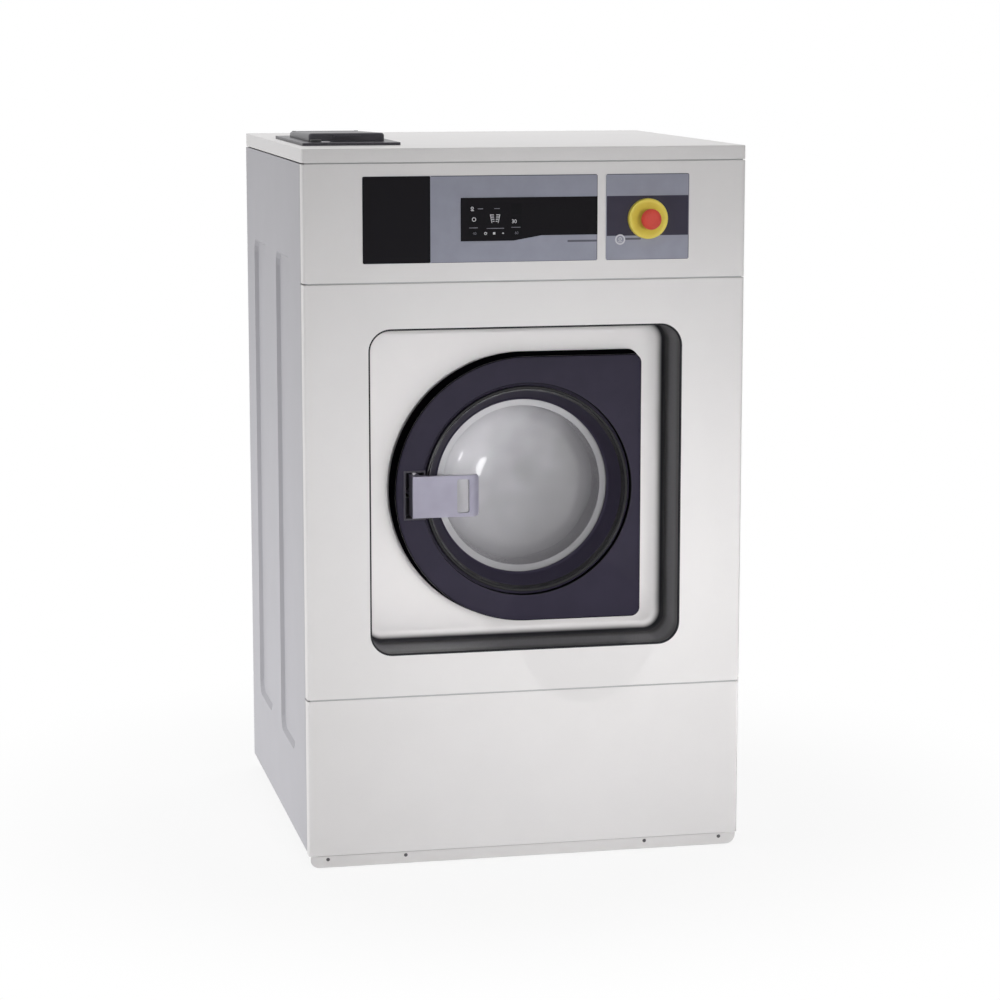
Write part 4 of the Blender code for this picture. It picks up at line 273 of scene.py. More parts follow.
class WasherStudioSizes(PropertyGroup):
    """The floor, the camera and the lamps"""

    floor: size("Floor", "Radius of the floor", 9.0)
    lens: number("Lens", "Focal length in millimetres", 104.3, "CAMERA")
    distance: size("Distance", "How far the camera stands in front of the cabinet", 4.320)
    side: size("Side", "How far the camera stands to the left", 0.971)
    height: size("Height", "Height of the camera", 1.297)
    yaw: angle("Yaw", "Turn towards +X", 12.13)
    pitch: angle("Pitch", "Tilt downwards", 9.30)
    key: number("Key", "Power of the front softbox", 3.3, "POWER")
    grid: angle("Grid", "Spread of the front softbox", 31)
    low: number("Low", "Power of a round lamp", 1.1, "POWER")
    fill: number("Fill", "Power of the left softbox", 9.5, "POWER")
    fill_grid: angle("Fill grid", "Spread of the left softbox", 66)
    top: number("Top", "Power of the overhead softbox", 36.0, "POWER")
    rear: number("Rear", "Power of the rear softbox", 34.0, "POWER")
    world: number("World", "Strength of the light from all round", 0.28)


class WasherColours(PropertyGroup):
    """Colours of the finishes"""

    sheet: colour("Sheet", "Satin steel of the front and the top", "#D7D5D5")
    # The recess floor's colour is a lightened copy of the sheet: painted light against the shade in the
    # recess.
    recess_lightened_floor: colour("Recess floor", "Brighter polish of the recess floor", "#ECE9E9")
    # The recess walls' dark and their paler stripe are a painted reflection of a dark surround in the
    # stainless.
    recess_wall: colour("Recess wall", "Dark walls of the recess", "#1F1F24")
    recess_reflected_stripe: colour("Recess stripe", "Paler stripe midway along the recess's walls", "#55555B")
    side: colour("Side", "Coating of the sides and the back", "#A9A8AD")
    frame_steel: colour("Frame", "Coating of the base and the frames", "#B4B4B6")
    stainless: colour("Stainless", "Brushed stainless of the drum and the tub", "#E8E6EA")
    # The door's two tones are copies of one violet-black plastic: the face's lighter tone is partly its grain
    # and partly painted light, and the near black is painted shade.
    lit_face_tone: colour("Door face", "Grained face of the door's cover", "#2C2837")
    shaded_black_tone: colour("Door gloss", "Polished edges of the door's mouldings", "#0A090D")
    handle: colour("Handle", "Handle's plate", "#9E9BAC")
    overlay: colour("Overlay", "Grey polyester foil", "#A1A3B1")
    overlay_rim: colour("Overlay rim", "Darker rim of the foil", "#66666F")
    print_dark: colour("Dark print", "Dark printed fields", "#110F14")
    print_band: colour("Band", "Dark band round the emergency stop", "#413E4C")
    lens: colour("Lens", "Smoked window of the display", "#100E13")
    # This near black also fills the drum's holes as painted shade.
    screen: colour("Screen", "Display and key fields", "#0C0C10")
    ink: colour("Ink", "Pale printed signs", "#D9D9DE")
    faint_ink: colour("Faint ink", "Faint printed lines and figures", "#77777F")
    yellow: colour("Yellow", "Collar of the emergency stop", "#F2DE5E")
    red: colour("Red", "Head of the emergency stop", "#D9402F")
    soap: colour("Soap dispenser", "Dark moulding on the top", "#424047")
    dark: colour("Dark plastic", "Small dark mouldings", "#232226")
    rubber: colour("Rubber", "Seals, belt and hose", "#262628")
    grey: colour("Grey plastic", "Drain, boxes and valves", "#94949A")
    cast: colour("Casting", "Cast aluminium", "#C2C2C4")
    brass: colour("Brass", "Inlet valve", "#CDA95C")
    screw: colour("Screw", "Blackened screws of the base strip", "#4A484C")
    glass: colour("Glass", "Clear pressed glass", "#F0EFF2")


def add_node(tree, kind, sockets=None, **settings):
    """Adds a node, sets its options and its sockets, and links those given as a node and its output."""
    made = tree.nodes.new(kind)
    for name, value in settings.items():
        setattr(made, name, value)
    for name, value in (sockets or {}).items():
        if isinstance(value, tuple) and isinstance(value[0], bpy.types.Node):
            tree.links.new(value[0].outputs[value[1]], made.inputs[name])
        else:
            made.inputs[name].default_value = value
    return made


def shaded(name, base, roughness, metallic=0.0, **sockets):
    """A material with its principled shader, whose constants are set on the shader's own sockets."""
    known = bpy.data.materials.get(name)
    if known:
        return known, None, None
    made = bpy.data.materials.new(name)
    made.use_nodes = True
    tree = made.node_tree
    shader = tree.nodes["Principled BSDF"]
    shader.inputs["Base Color"].default_value = tuple(base)
    shader.inputs["Roughness"].default_value = roughness
    shader.inputs["Metallic"].default_value = metallic
    for socket, value in sockets.items():
        shader.inputs[socket.replace("_", " ").title().replace("Ior", "IOR")].default_value = value
    return made, tree, shader


def spots(tree, place, millimetres, detail=2.0, stretch=EVEN):
    """Noise whose spots are about that many millimetres wide along an unstretched axis."""
    scaled = add_node(tree, "ShaderNodeMapping", {"Vector": (place, "Object"), "Scale": stretch})
    sockets = {"Vector": (scaled, "Vector"), "Scale": 1000 / millimetres, "Detail": detail}
    return add_node(tree, "ShaderNodeTexNoise", {**sockets, "Roughness": 0.55})


def tinted(tree, shader, base, noise, low, high, places=(0.35, 0.65)):
    """Lets the base colour wander between two shades of itself. The noise is a node and its output."""
    ramp = add_node(tree, "ShaderNodeValToRGB", {"Fac": noise})
    for element, shade, place in zip(ramp.color_ramp.elements, (low, high), places):
        element.position = place
        element.color = (*[min(1.0, value * shade) for value in base[:3]], 1.0)
    tree.links.new(ramp.outputs["Color"], shader.inputs["Base Color"])


def bumped(tree, shader, noise, height, strength):
    """Raises the surface by noise, whose height is in metres."""
    sockets = {"Height": (noise, "Fac"), "Distance": height, "Strength": strength}
    bump = add_node(tree, "ShaderNodeBump", sockets)
    tree.links.new(bump.outputs["Normal"], shader.inputs["Normal"])


def varied(tree, shader, noise, low, high):
    """Lets the roughness wander between two values."""
    sockets = {"Value": (noise, "Fac"), "To Min": low, "To Max": high}
    spread = add_node(tree, "ShaderNodeMapRange", sockets)
    tree.links.new(spread.outputs["Result"], shader.inputs["Roughness"])


def patterned(name, base, roughness, tint, gloss, relief=None, metallic=0.0, **sockets):
    """A finish whose colour, roughness and relief follow noises.

    Each noise is given by its spots' width in millimetres, its detail, its stretch and two ends: shades for
    the tint, roughnesses for the gloss, and a height in metres and a strength for the relief.
    """
    made, tree, shader = shaded(name, base, roughness, metallic, **sockets)
    if tree is None:
        return made
    place = add_node(tree, "ShaderNodeTexCoord")
    drawn = {}
    for pattern in (tint, gloss, relief):
        if pattern and pattern[:3] not in drawn:
            drawn[pattern[:3]] = spots(tree, place, *pattern[:3])
    tinted(tree, shader, base, (drawn[tint[:3]], "Fac"), *tint[3:])
    varied(tree, shader, drawn[gloss[:3]], *gloss[3:])
    if relief:
        bumped(tree, shader, drawn[relief[:3]], *relief[3:])
    return made


def satin_sheet(name, base):
    """Rolled stainless sheet with a satin polish: a soft, nearly matt shine with a fine upright grain."""
    # The polish is 0.1 mm wide. It is drawn as 0.8 mm so that it shows at all.
    grain = (0.8, 3.0, UPRIGHT)
    tint = (60, 3.0, EVEN, 0.99, 1.005)
    gloss, relief = (*grain, 0.32, 0.42), (*grain, 0.00003, 0.5)
    return patterned(name, base, 0.36, tint, gloss, relief, 0.30, specular_ior_level=0.20)


def satin_stainless_sheet(colours):
    """The satin sheet of the front and the top."""
    return satin_sheet("satin_stainless_sheet", colours.sheet)


def painted_recess_reflection(colours, sizes):
    """The pressed walls, their colour a painted reflection: dark and half gloss, a paler stripe midway, and
    bright within the fillet, where a painted shade fades into the floor.
    """
    dark, pale, bright = colours.recess_wall, colours.recess_reflected_stripe, colours.recess_lightened_floor
    made, tree, shader = shaded("painted_recess_reflection", dark, 0.36, 0.10, specular_ior_level=0.30)
    if tree is None:
        return made
    place = add_node(tree, "ShaderNodeTexCoord")
    parts = add_node(tree, "ShaderNodeSeparateXYZ", {"Vector": (place, "Object")})
    reach = {"Value": (parts, "Y"), "From Min": FRONT_Y, "From Max": FRONT_Y + sizes.recess_depth}
    depth = add_node(tree, "ShaderNodeMapRange", reach)
    ramp = add_node(tree, "ShaderNodeValToRGB", {"Fac": (depth, "Result")})
    ramp.color_ramp.interpolation = "EASE"
    # Shares of the recess's depth. The painted dark, which darkens the lip too, ends a little before the
    # fillet meets the floor.
    turn = 1 - 0.40 * sizes.fillet / sizes.recess_depth
    elements = ramp.color_ramp.elements
    elements[0].position = 0.06
    elements[0].color = tuple(dark)
    elements[-1].color = tuple(bright)
    for share, shade in ((0.30, pale), (0.55, pale), (0.78, dark), (turn, dark)):
        elements.new(share).color = tuple(shade)
    tree.links.new(ramp.outputs["Color"], shader.inputs["Base Color"])
    # Drawing marks run into the recess. They are 0.1 mm wide and drawn as 0.8 mm, so that they show.
    grain = spots(tree, place, 0.8, 2.0, INWARD)
    varied(tree, shader, grain, 0.32, 0.44)
    bumped(tree, shader, grain, 0.00003, 0.4)
    return made


def coated_steel(name, base):
    """Powder-coated steel: matt, with the shallow dimples of a baked coating."""
    # The dimples are 0.5 mm wide and drawn as 1.6 mm, so that they show from a step away.
    dimples = (1.6, 1.0, EVEN)
    tint = (90, 2.0, EVEN, 0.985, 1.01)
    gloss, relief = (*dimples, 0.44, 0.56), (*dimples, 0.00006, 0.6)
    return patterned(name, base, 0.50, tint, gloss, relief, specular_ior_level=0.4)


def brushed_stainless(colours):
    """Brushed stainless steel: bright, with streaks round the drum that smear its reflections."""
    # The streaks are 0.2 mm wide and drawn as 2 mm, so that they show inside the drum.
    streaks = (2.0, 4.0, ROUND)
    tint, gloss, relief = (*streaks, 0.94, 1.02), (*streaks, 0.24, 0.40), (*streaks, 0.00004, 0.4)
    return patterned("brushed_stainless", colours.stainless, 0.32, tint, gloss, relief, 0.40)


def perforated_stainless(colours, drum):
    """The drum's wrapper: bright stainless with rows of small holes, pressed from inside, whose dark is
    painted shade.
    """
    made, tree, shader = shaded("perforated_stainless", colours.stainless, 0.32, 0.35)
    if tree is None:
        return made
    place = add_node(tree, "ShaderNodeTexCoord")
    from_axis = {0: (place, "Object"), 1: (AXIS_X, 0.0, AXIS_Z)}
    centred = add_node(tree, "ShaderNodeVectorMath", from_axis, operation="SUBTRACT")
    parts = add_node(tree, "ShaderNodeSeparateXYZ", {"Vector": (centred, "Vector")})
    turn = add_node(tree, "ShaderNodeMath", {0: (parts, "Z"), 1: (parts, "X")}, operation="ARCTAN2")
    holes = round(pi * (DRUM_HIGH.x - DRUM_LOW.x) / drum.pitch)
    per_radian = holes / (2 * pi)
    around = add_node(tree, "ShaderNodeMath", {0: (turn, "Value"), 1: per_radian}, operation="MULTIPLY")
    along = add_node(tree, "ShaderNodeMath", {0: (parts, "Y"), 1: 1 / drum.pitch}, operation="MULTIPLY")
    # Each row stands half a pitch beside the one before it.
    row = add_node(tree, "ShaderNodeMath", {0: (along, "Value")}, operation="FLOOR")
    shift = add_node(tree, "ShaderNodeMath", {0: (row, "Value"), 1: 0.5}, operation="MULTIPLY")
    both = {0: (around, "Value"), 1: (shift, "Value")}
    shifted = add_node(tree, "ShaderNodeMath", both, operation="ADD")
    cells = []
    for value in (shifted, along):
        part = add_node(tree, "ShaderNodeMath", {0: (value, "Value")}, operation="FRACT")
        middle = {0: (part, "Value"), 1: 0.5}
        cells.append(add_node(tree, "ShaderNodeMath", middle, operation="SUBTRACT"))
    cell = add_node(tree, "ShaderNodeCombineXYZ", {"X": (cells[0], "Value"), "Y": (cells[1], "Value")})
    far = add_node(tree, "ShaderNodeVectorMath", {0: (cell, "Vector")}, operation="LENGTH")
    edge = drum.bore / drum.pitch
    rim = {"Value": (far, "Value"), "From Min": edge * 1.15, "From Max": edge * 0.85}
    hole = add_node(tree, "ShaderNodeMapRange", rim, interpolation_type="SMOOTHSTEP")
    # The holes take the display's near black: painted shade for the depth behind them.
    shades = {0: (hole, "Result"), 6: tuple(colours.stainless), 7: tuple(colours.screen)}
    mixed = add_node(tree, "ShaderNodeMix", shades, data_type="RGBA")
    tree.links.new(mixed.outputs[2], shader.inputs["Base Color"])
    dish = add_node(tree, "ShaderNodeBump", {"Height": (hole, "Result"), "Distance": 0.001}, invert=True)
    tree.links.new(dish.outputs["Normal"], shader.inputs["Normal"])
    varied(tree, shader, spots(tree, place, 2.0, 4.0, ROUND), 0.26, 0.40)
    return made


def moulded_plastic(name, base, roughness, grain=0.7, height=0.00003, **sockets):
    """Injection-moulded plastic: an even colour with the fine grain of a spark-eroded mould."""
    # Mould grain is 0.1 mm wide and drawn coarser, as given here in millimetres, so that it shows.
    tint = (45, 2.0, EVEN, 0.95, 1.06)
    gloss = (grain, 2.0, EVEN, roughness * 0.88, roughness * 1.12)
    relief = (grain, 2.0, EVEN, height, 0.6)
    return patterned(name, base, roughness, tint, gloss, relief, **sockets)


def lit_grain_abs(colours):
    """ABS with a fine mould grain, for the door's face: an even violet-black, lighter than the door's other
    bands partly for the grain that scatters the light and partly as painted light.
    """
    return moulded_plastic("lit_grain_abs", colours.lit_face_tone, 0.50, specular_ior_level=0.18)


def shaded_gloss_abs(colours):
    """Polished ABS, for the walls and edges of the door: nearly black, a darker copy of the door's plastic
    that carries painted shade, with sharp glints.
    """
    base = colours.shaded_black_tone
    return moulded_plastic("shaded_gloss_abs", base, 0.12, 6.0, 0.000003, specular_ior_level=0.40)


def shaded_flank_abs(colours):
    """ABS for the door's flanks: black, a darker copy of the door's plastic that carries painted shade, with
    hardly any shine.
    """
    base = colours.shaded_black_tone
    return moulded_plastic("shaded_flank_abs", base, 0.50, 0.9, 0.00002, specular_ior_level=0.0)


def rubber_moulding(colours):
    """Black EPDM rubber: matt, with a dusty bloom that lightens it in patches."""
    bloom = (12, 4.0, EVEN)
    tint, gloss, relief = (*bloom, 0.85, 1.25), (*bloom, 0.64, 0.82), (1.2, 2.0, EVEN, 0.00004, 0.5)
    return patterned("epdm_rubber", colours.rubber, 0.72, tint, gloss, relief)


def pressed_glass(colours):
    """Borosilicate glass, pressed: bright edges, under a milky painted glow that half hides the drum."""
    base = colours.glass
    made, tree, shader = shaded("pressed_glass", base, 0.03, transmission_weight=0.66, ior=1.47)
    if tree is None:
        return made
    place = add_node(tree, "ShaderNodeTexCoord")
    varied(tree, shader, spots(tree, place, 35, 3.0), 0.01, 0.06)
    # A painted glow, thickest high on the handle's side, makes the glass paler and less clear there.
    slope = {0: (place, "Generated"), 1: (-0.5, 0.0, 0.5)}
    slant = add_node(tree, "ShaderNodeVectorMath", slope, operation="DOT_PRODUCT")
    patches = {"Value": (spots(tree, place, 110, 2.0), "Fac"), "To Min": -0.2, "To Max": 0.2}
    cloud = add_node(tree, "ShaderNodeMapRange", patches)
    both = {0: (slant, "Value"), 1: (cloud, "Result")}
    bloom = add_node(tree, "ShaderNodeMath", both, operation="ADD")
    reach = {"Value": (bloom, "Value"), "From Min": -0.10, "From Max": 0.34, "To Min": 0.66, "To Max": 0.40}
    clear = add_node(tree, "ShaderNodeMapRange", reach, interpolation_type="SMOOTHSTEP")
    tree.links.new(clear.outputs["Result"], shader.inputs["Transmission Weight"])
    # The colour darkens away from the glow: painted shade.
    whole = {"Value": (bloom, "Value"), "From Min": -0.25, "From Max": 0.25}
    glow_share = add_node(tree, "ShaderNodeMapRange", whole)
    tinted(tree, shader, base, (glow_share, "Result"), 0.62, 1.0, (0.0, 1.0))
    # Lamps shine straight through the bowl, as they do through real clear glass.
    path = add_node(tree, "ShaderNodeLightPath")
    through = add_node(tree, "ShaderNodeBsdfTransparent", {"Color": tuple(base)})
    blend = {0: (path, "Is Shadow Ray"), 1: (shader, "BSDF"), 2: (through, "BSDF")}
    mixed = add_node(tree, "ShaderNodeMixShader", blend)
    tree.links.new(mixed.outputs["Shader"], tree.nodes["Material Output"].inputs["Surface"])
    return made


def smoked_polycarbonate(colours):
    """The display's window: glossy, nearly black polycarbonate with a hint of dust."""
    dust = (3.0, 5.0, EVEN)
    tint, gloss = (*dust, 0.92, 1.12), (*dust, 0.12, 0.24)
    return patterned("smoked_polycarbonate", colours.lens, 0.16, tint, gloss, specular_ior_level=0.10)


def polyester_foil(name, base, roughness=0.48):
    """Printed polyester foil: matt ink under a fine emboss."""
    # The emboss is 0.15 mm wide and drawn as 0.5 mm.
    emboss = (0.5, 1.0, EVEN)
    tint = (25, 3.0, EVEN, 0.97, 1.03)
    gloss, relief = (*emboss, roughness * 0.9, roughness * 1.1), (*emboss, 0.00002, 0.5)
    return patterned(name, base, roughness, tint, gloss, relief, specular_ior_level=0.10)


def cast_aluminium(colours):
    """Sand-cast aluminium: dull silver with a pitted skin."""
    pits = (2.2, 4.0, EVEN)
    tint, gloss, relief = (*pits, 0.86, 1.03), (*pits, 0.44, 0.62), (*pits, 0.0002, 0.6)
    return patterned("cast_aluminium", colours.cast, 0.52, tint, gloss, relief, 0.9)


def turned_brass(colours):
    """Turned brass, slightly tarnished: warm metal with fine rings."""
    # The rings are 0.1 mm wide and drawn as 0.9 mm, so that they show.
    rings = (0.9, 1.0, TURNED)
    tint = (8.0, 4.0, EVEN, 0.8, 1.04)
    gloss, relief = (*rings, 0.26, 0.42), (*rings, 0.00004, 0.5)
    return patterned("turned_brass", colours.brass, 0.32, tint, gloss, relief, 1.0)


# The finishes of the record's material slots, each made from the colours
FINISHES = {
    "panel_steel": satin_stainless_sheet,
    "side_steel": lambda shades: coated_steel("coated_side_sheet", shades.side),
    "frame_steel": lambda shades: coated_steel("coated_frame_steel", shades.frame_steel),
    "stainless": brushed_stainless,
    "black_plastic": lambda shades: moulded_plastic("black_abs", shades.soap, 0.34, specular_ior_level=0.25),
    "dark_plastic": lambda shades: moulded_plastic("dark_polyamide", shades.dark, 0.45),
    "grey_plastic": lambda shades: moulded_plastic("grey_polypropylene", shades.grey, 0.5, 1.2, 0.00005),
    "handle_grey": lambda shades: moulded_plastic("lilac_grey_polyamide", shades.handle, 0.36, 0.8, 0.00002),
    "signal_yellow": lambda shades: moulded_plastic("yellow_abs", shades.yellow, 0.36, 0.9, 0.00002),
    "signal_red": lambda shades: moulded_plastic("red_abs", shades.red, 0.34, 0.9, 0.00002),
    "overlay_grey": lambda shades: polyester_foil("polyester_foil", shades.overlay),
    "rubber": rubber_moulding,
    "clear_glass": pressed_glass,
    "cast_metal": cast_aluminium,
    "brass": turned_brass,
}


def finish_for(slot, colours):
    """The finish of one of the record's material slots."""
    return FINISHES[slot](colours)


def middle_of(name):
    """The middle of a node of the frame."""
    return [(start + end) / 2 for start, end in zip(*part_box(name))]


def eased(share):
    """A share held between 0 and 1, which starts and ends level."""
    held = min(1.0, max(0.0, share))
    return held * held * (3 - 2 * held)


def placed(outline, axis, level):
    """Points of a flat outline, set at a level on the axis that it is square to."""
    if axis == "x":
        return [(level, u, v) for u, v in outline]
    if axis == "y":
        return [(u, level, v) for u, v in outline]
    return [(u, v, level) for u, v in outline]


def arc(centre, radius, start, end, steps):
    """Points along an arc, both ends included."""
    angles = [start + (end - start) * step / steps for step in range(steps + 1)]
    return [(centre[0] + radius * cos(a), centre[1] + radius * sin(a)) for a in angles]


def circle(centre, radius, steps):
    """Points round a circle."""
    return arc(centre, radius, 0, 2 * pi, steps)[:-1]


def round_box(centre, half_u, half_v, radius, steps=CORNER_STEPS, sides=SIDE_STEPS):
    """A rectangle with round corners and points along its sides, anticlockwise."""
    signs = ((1, -1), (1, 1), (-1, 1), (-1, -1))
    corners = []
    for number, (u, v) in enumerate(signs):
        middle = (centre[0] + u * (half_u - radius), centre[1] + v * (half_v - radius))
        corners.append(arc(middle, radius, pi / 2 * (number - 1), pi / 2 * number, steps))
    points = []
    for corner, following in zip(corners, corners[1:] + corners[:1]):
        points += corner
        end, start = Vector(corner[-1]), Vector(following[0])
        points += [tuple(end.lerp(start, step / sides)) for step in range(1, sides)]
    return points


def skin(loops, ring=False, caps=True, looks=None):
    """Skins loops of equal length. A ring joins its ends, and looks gives the material of each band."""
    shape = bmesh.new()
    rows = [[shape.verts.new(point) for point in loop] for loop in loops]
    pairs = list(zip(rows, rows[1:]))
    if ring:
        pairs.append((rows[-1], rows[0]))
    elif caps:
        shape.faces.new(reversed(rows[0]))
        shape.faces.new(rows[-1])
    for band, (lower, upper) in enumerate(pairs):
        for here in range(len(lower)):
            after = (here + 1) % len(lower)
            face = shape.faces.new((lower[here], lower[after], upper[after], upper[here]))
            face.material_index = looks[band] if looks else 0
    return shape


def prism(outline, axis, low, high):
    """A flat outline given a thickness."""
    return skin([placed(outline, axis, low), placed(outline, axis, high)])


def block(low, high):
    """A box between two corners."""
    outline = [(low[0], low[1]), (high[0], low[1]), (high[0], high[1]), (low[0], high[1])]
    return prism(outline, "z", low[2], high[2])


def turned(profile, centre, axis, steps=FINE, looks=None):
    """Turns a closed profile of (radius, level) points about an axis through the centre."""
    shape = bmesh.new()
    rows = []
    for radius, level in profile:
        outline = circle(centre, radius, steps) if radius else [centre]
        rows.append([shape.verts.new(point) for point in placed(outline, axis, level)])
    for band, (row, other) in enumerate(zip(rows, rows[1:] + rows[:1])):
        for here in range(steps):
            after = (here + 1) % steps
            corners = [row[here % len(row)], row[after % len(row)]]
            corners += [other[after % len(other)], other[here % len(other)]]
            corners = list(dict.fromkeys(corners))
            if len(corners) > 2:
                face = shape.faces.new(corners)
                face.material_index = looks[band] if looks else 0
    return shape


def rounded_profile(corners, steps=5):
    """A profile whose corners (radius, level, rounding) are rounded where they ask for it."""
    points = []
    for number, (radius, level, rounding) in enumerate(corners):
        here = Vector((radius, level))
        if not rounding:
            points.append((radius, level))
            continue
        before = Vector(corners[number - 1][:2])
        after = Vector(corners[(number + 1) % len(corners)][:2])
        start = here + (before - here).normalized() * rounding
        end = here + (after - here).normalized() * rounding
        for step in range(steps + 1):
            t = step / steps
            point = start * (1 - t) ** 2 + here * 2 * t * (1 - t) + end * t**2
            points.append(tuple(point))
    return points


def as_mesh(name, shape):
    """A mesh of a shape, which is used up."""
    mesh = bpy.data.meshes.new(name)
    shape.to_mesh(mesh)
    shape.free()
    return mesh


def as_object(name, data):
    """An object of the scene."""
    made = bpy.data.objects.new(name, data)
    bpy.context.scene.collection.objects.link(made)
    return made


def smoothed(mesh):
    """Shades a mesh smooth between its sharp edges."""
    mesh.shade_smooth()
    mesh.set_sharp_from_angle(angle=SMOOTH_ANGLE)
    return mesh


def shown_mesh(made):
    """A new mesh of an object as its modifiers or its text show it."""
    bpy.context.view_layer.update()
    graph = bpy.context.evaluated_depsgraph_get()
    return bpy.data.meshes.new_from_object(made.evaluated_get(graph))


def merged(*shapes):
    """One shape that holds several bodies."""
    whole = bmesh.new()
    for shape in shapes:
        mesh = as_mesh("part_of_a_group", shape)
        whole.from_mesh(mesh)
        bpy.data.meshes.remove(mesh)
    return whole


def piece(name, shape, body, slot, *finishes, stands_for=()):
    """A named piece of the looks, which rides on a body and may stand for nodes of the frame."""
    bmesh.ops.recalc_face_normals(shape, faces=shape.faces)
    mesh = smoothed(as_mesh(name, shape))
    for look in finishes:
        mesh.materials.append(look)
    made = as_object(name, mesh)
    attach(made, body)
    if stands_for:
        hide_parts(*stands_for)
    return made


def carve(made, *shapes, operation="DIFFERENCE"):
    """Cuts shapes from a piece, or joins them to it, and keeps the result as its mesh."""
    helpers = []
    for shape in shapes:
        bmesh.ops.recalc_face_normals(shape, faces=shape.faces)
        helpers.append(as_object("carving_tool", as_mesh("carving_tool", shape)))
        boolean = made.modifiers.new("Carving", "BOOLEAN")
        boolean.operation = operation
        boolean.object = helpers[-1]
    mesh = shown_mesh(made)
    made.modifiers.clear()
    made.data = smoothed(mesh)
    for helper in helpers:
        bpy.data.objects.remove(helper)


def soften(made, width, segments=3, least=40, harden=True):
    """Rounds a piece's edges that turn by more than a number of degrees."""
    rounding = made.modifiers.new("Edges", "BEVEL")
    rounding.width = width
    rounding.segments = segments
    rounding.limit_method = "ANGLE"
    rounding.angle_limit = radians(least)
    rounding.harden_normals = harden


def level_shading(made):
    """Lets the large faces set the shading, so that a flat sheet stays flat up to its rounded edge."""
    weighted = made.modifiers.new("Shading", "WEIGHTED_NORMAL")
    weighted.keep_sharp = True


class WASHER_OT_finishes(Operator):
    """Gives every node of the frame the finish of its material slot"""

    bl_idname = "washer.finishes"
    bl_label = "Finishes"

    def execute(self, context):
        colours = context.scene.washer_colours
        for subpart in frame["record"]["subparts"]:
            node = frame["nodes"][subpart["node"]]
            node.data.materials.clear()
            node.data.materials.append(finish_for(subpart["material_slot"], colours))
        for name, width in EDGES.items():
            soften(frame["nodes"][name], width, 2)
        return {"FINISHED"}


def tongue_slot():
    """The slot in the recess floor that the handle's tongue passes through: its sides and its levels."""
    middle = middle_of("handle_pin")[0]
    level = middle_of("handle_housing")[2]
    return middle - SLOT_LEFT, middle + SLOT_RIGHT, level - SLOT_HALF_HEIGHT, level + SLOT_HALF_HEIGHT


def nearest_rims(edges):
    """The edges of the two open loops that lie nearest the door's axis."""

    def reach(edge):
        middle = (edge.verts[0].co + edge.verts[1].co) / 2
        return Vector((middle.x - AXIS_X, middle.z - AXIS_Z)).length

    # The next open edges lie much more than a tenth farther out.
    shortest = min(reach(edge) for edge in edges)
    return [edge for edge in edges if reach(edge) < shortest * 1.1]


def sheet_of(shape, wall):
    """Gives an open skin with a hole its thickness, behind its faces."""
    back = shape.copy()
    shifts = [vertex.normal * wall for vertex in back.verts]
    for vertex, shift in zip(back.verts, shifts):
        vertex.co -= shift
    bmesh.ops.reverse_faces(back, faces=back.faces)
    whole = merged(shape, back)
    for choose in (nearest_rims, list):
        open_edges = [edge for edge in whole.edges if edge.is_boundary]
        bmesh.ops.bridge_loops(whole, edges=choose(open_edges))
    return whole


class WASHER_OT_front_panel(Operator):
    """Presses the front panel with its deep recess"""

    bl_idname = "washer.front_panel"
    bl_label = "Front panel"

    def execute(self, context):
        sizes = context.scene.washer_front
        colours = context.scene.washer_colours
        centre = (0.0, (PANEL_LOW.z + PANEL_HIGH.z) / 2)
        half_height = (PANEL_HIGH.z - PANEL_LOW.z) / 2
        middle = (0.0, PANEL_LOW.z + sizes.recess_sill + sizes.recess_height / 2)

        def outside(turn, depth):
            side = HALF_WIDTH - sizes.corner * (1 - sin(turn))
            level = half_height - sizes.edge * (1 - sin(turn))
            return placed(round_box(centre, side, level, sizes.edge), "y", FRONT_Y + depth)

        def recess(grow, depth):
            half_u, half_v = sizes.recess_width / 2 + grow, sizes.recess_height / 2 + grow
            outline = round_box(middle, half_u, half_v, sizes.recess_corner + grow)
            return placed(outline, "y", FRONT_Y + depth)

        turns = [pi / 2 * step / CORNER_STEPS for step in range(CORNER_STEPS + 1)]
        loops = [outside(pi / 2, sizes.wrap)]
        loops += [outside(turn, sizes.corner * (1 - cos(turn))) for turn in reversed(turns)]
        # Satin face, the lip, the walls and the fillet in painted reflection and painted shade, and the floor
        # in a lightened copy of the sheet
        looks = [0] * len(loops) + [1] * (2 * CORNER_STEPS + 1) + [2]
        loops += [recess(sizes.lip * (1 - sin(turn)), sizes.lip * (1 - cos(turn))) for turn in turns]
        start = sizes.recess_depth - sizes.fillet
        for turn in turns:
            loops.append(recess(-sizes.fillet * (1 - cos(turn)), start + sizes.fillet * sin(turn)))
        rim = []
        for x, y, z in loops[-1]:
            out = Vector((x - AXIS_X, z - AXIS_Z)).normalized() * sizes.hole
            rim.append((AXIS_X + out.x, y, AXIS_Z + out.y))
        loops.append(rim)
        shape = skin(loops, caps=False, looks=looks)
        # The faces look forward, so that the sheet gets its thickness behind them.
        bmesh.ops.recalc_face_normals(shape, faces=shape.faces)
        shape.faces.ensure_lookup_table()
        if shape.faces[-1].normal.y > 0:
            bmesh.ops.reverse_faces(shape, faces=shape.faces)
        made = piece(
            "front_panel_pressing",
            sheet_of(shape, sizes.sheet),
            "cabinet",
            "panel_steel",
            satin_stainless_sheet(colours),
            painted_recess_reflection(colours, sizes),
            # The floor's lightened copy of the sheet is painted light against the recess's shade.
            satin_sheet("recess_lightened_sheet", colours.recess_lightened_floor),
            stands_for=["front_panel"],
        )
        left, right, bottom, top = tongue_slot()
        start = FRONT_Y + sizes.recess_depth - OVERRUN
        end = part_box("door_lock")[0].y + OVERRUN
        carve(made, block((left, start, bottom), (right, end, top)))
        level_shading(made)
        return {"FINISHED"}


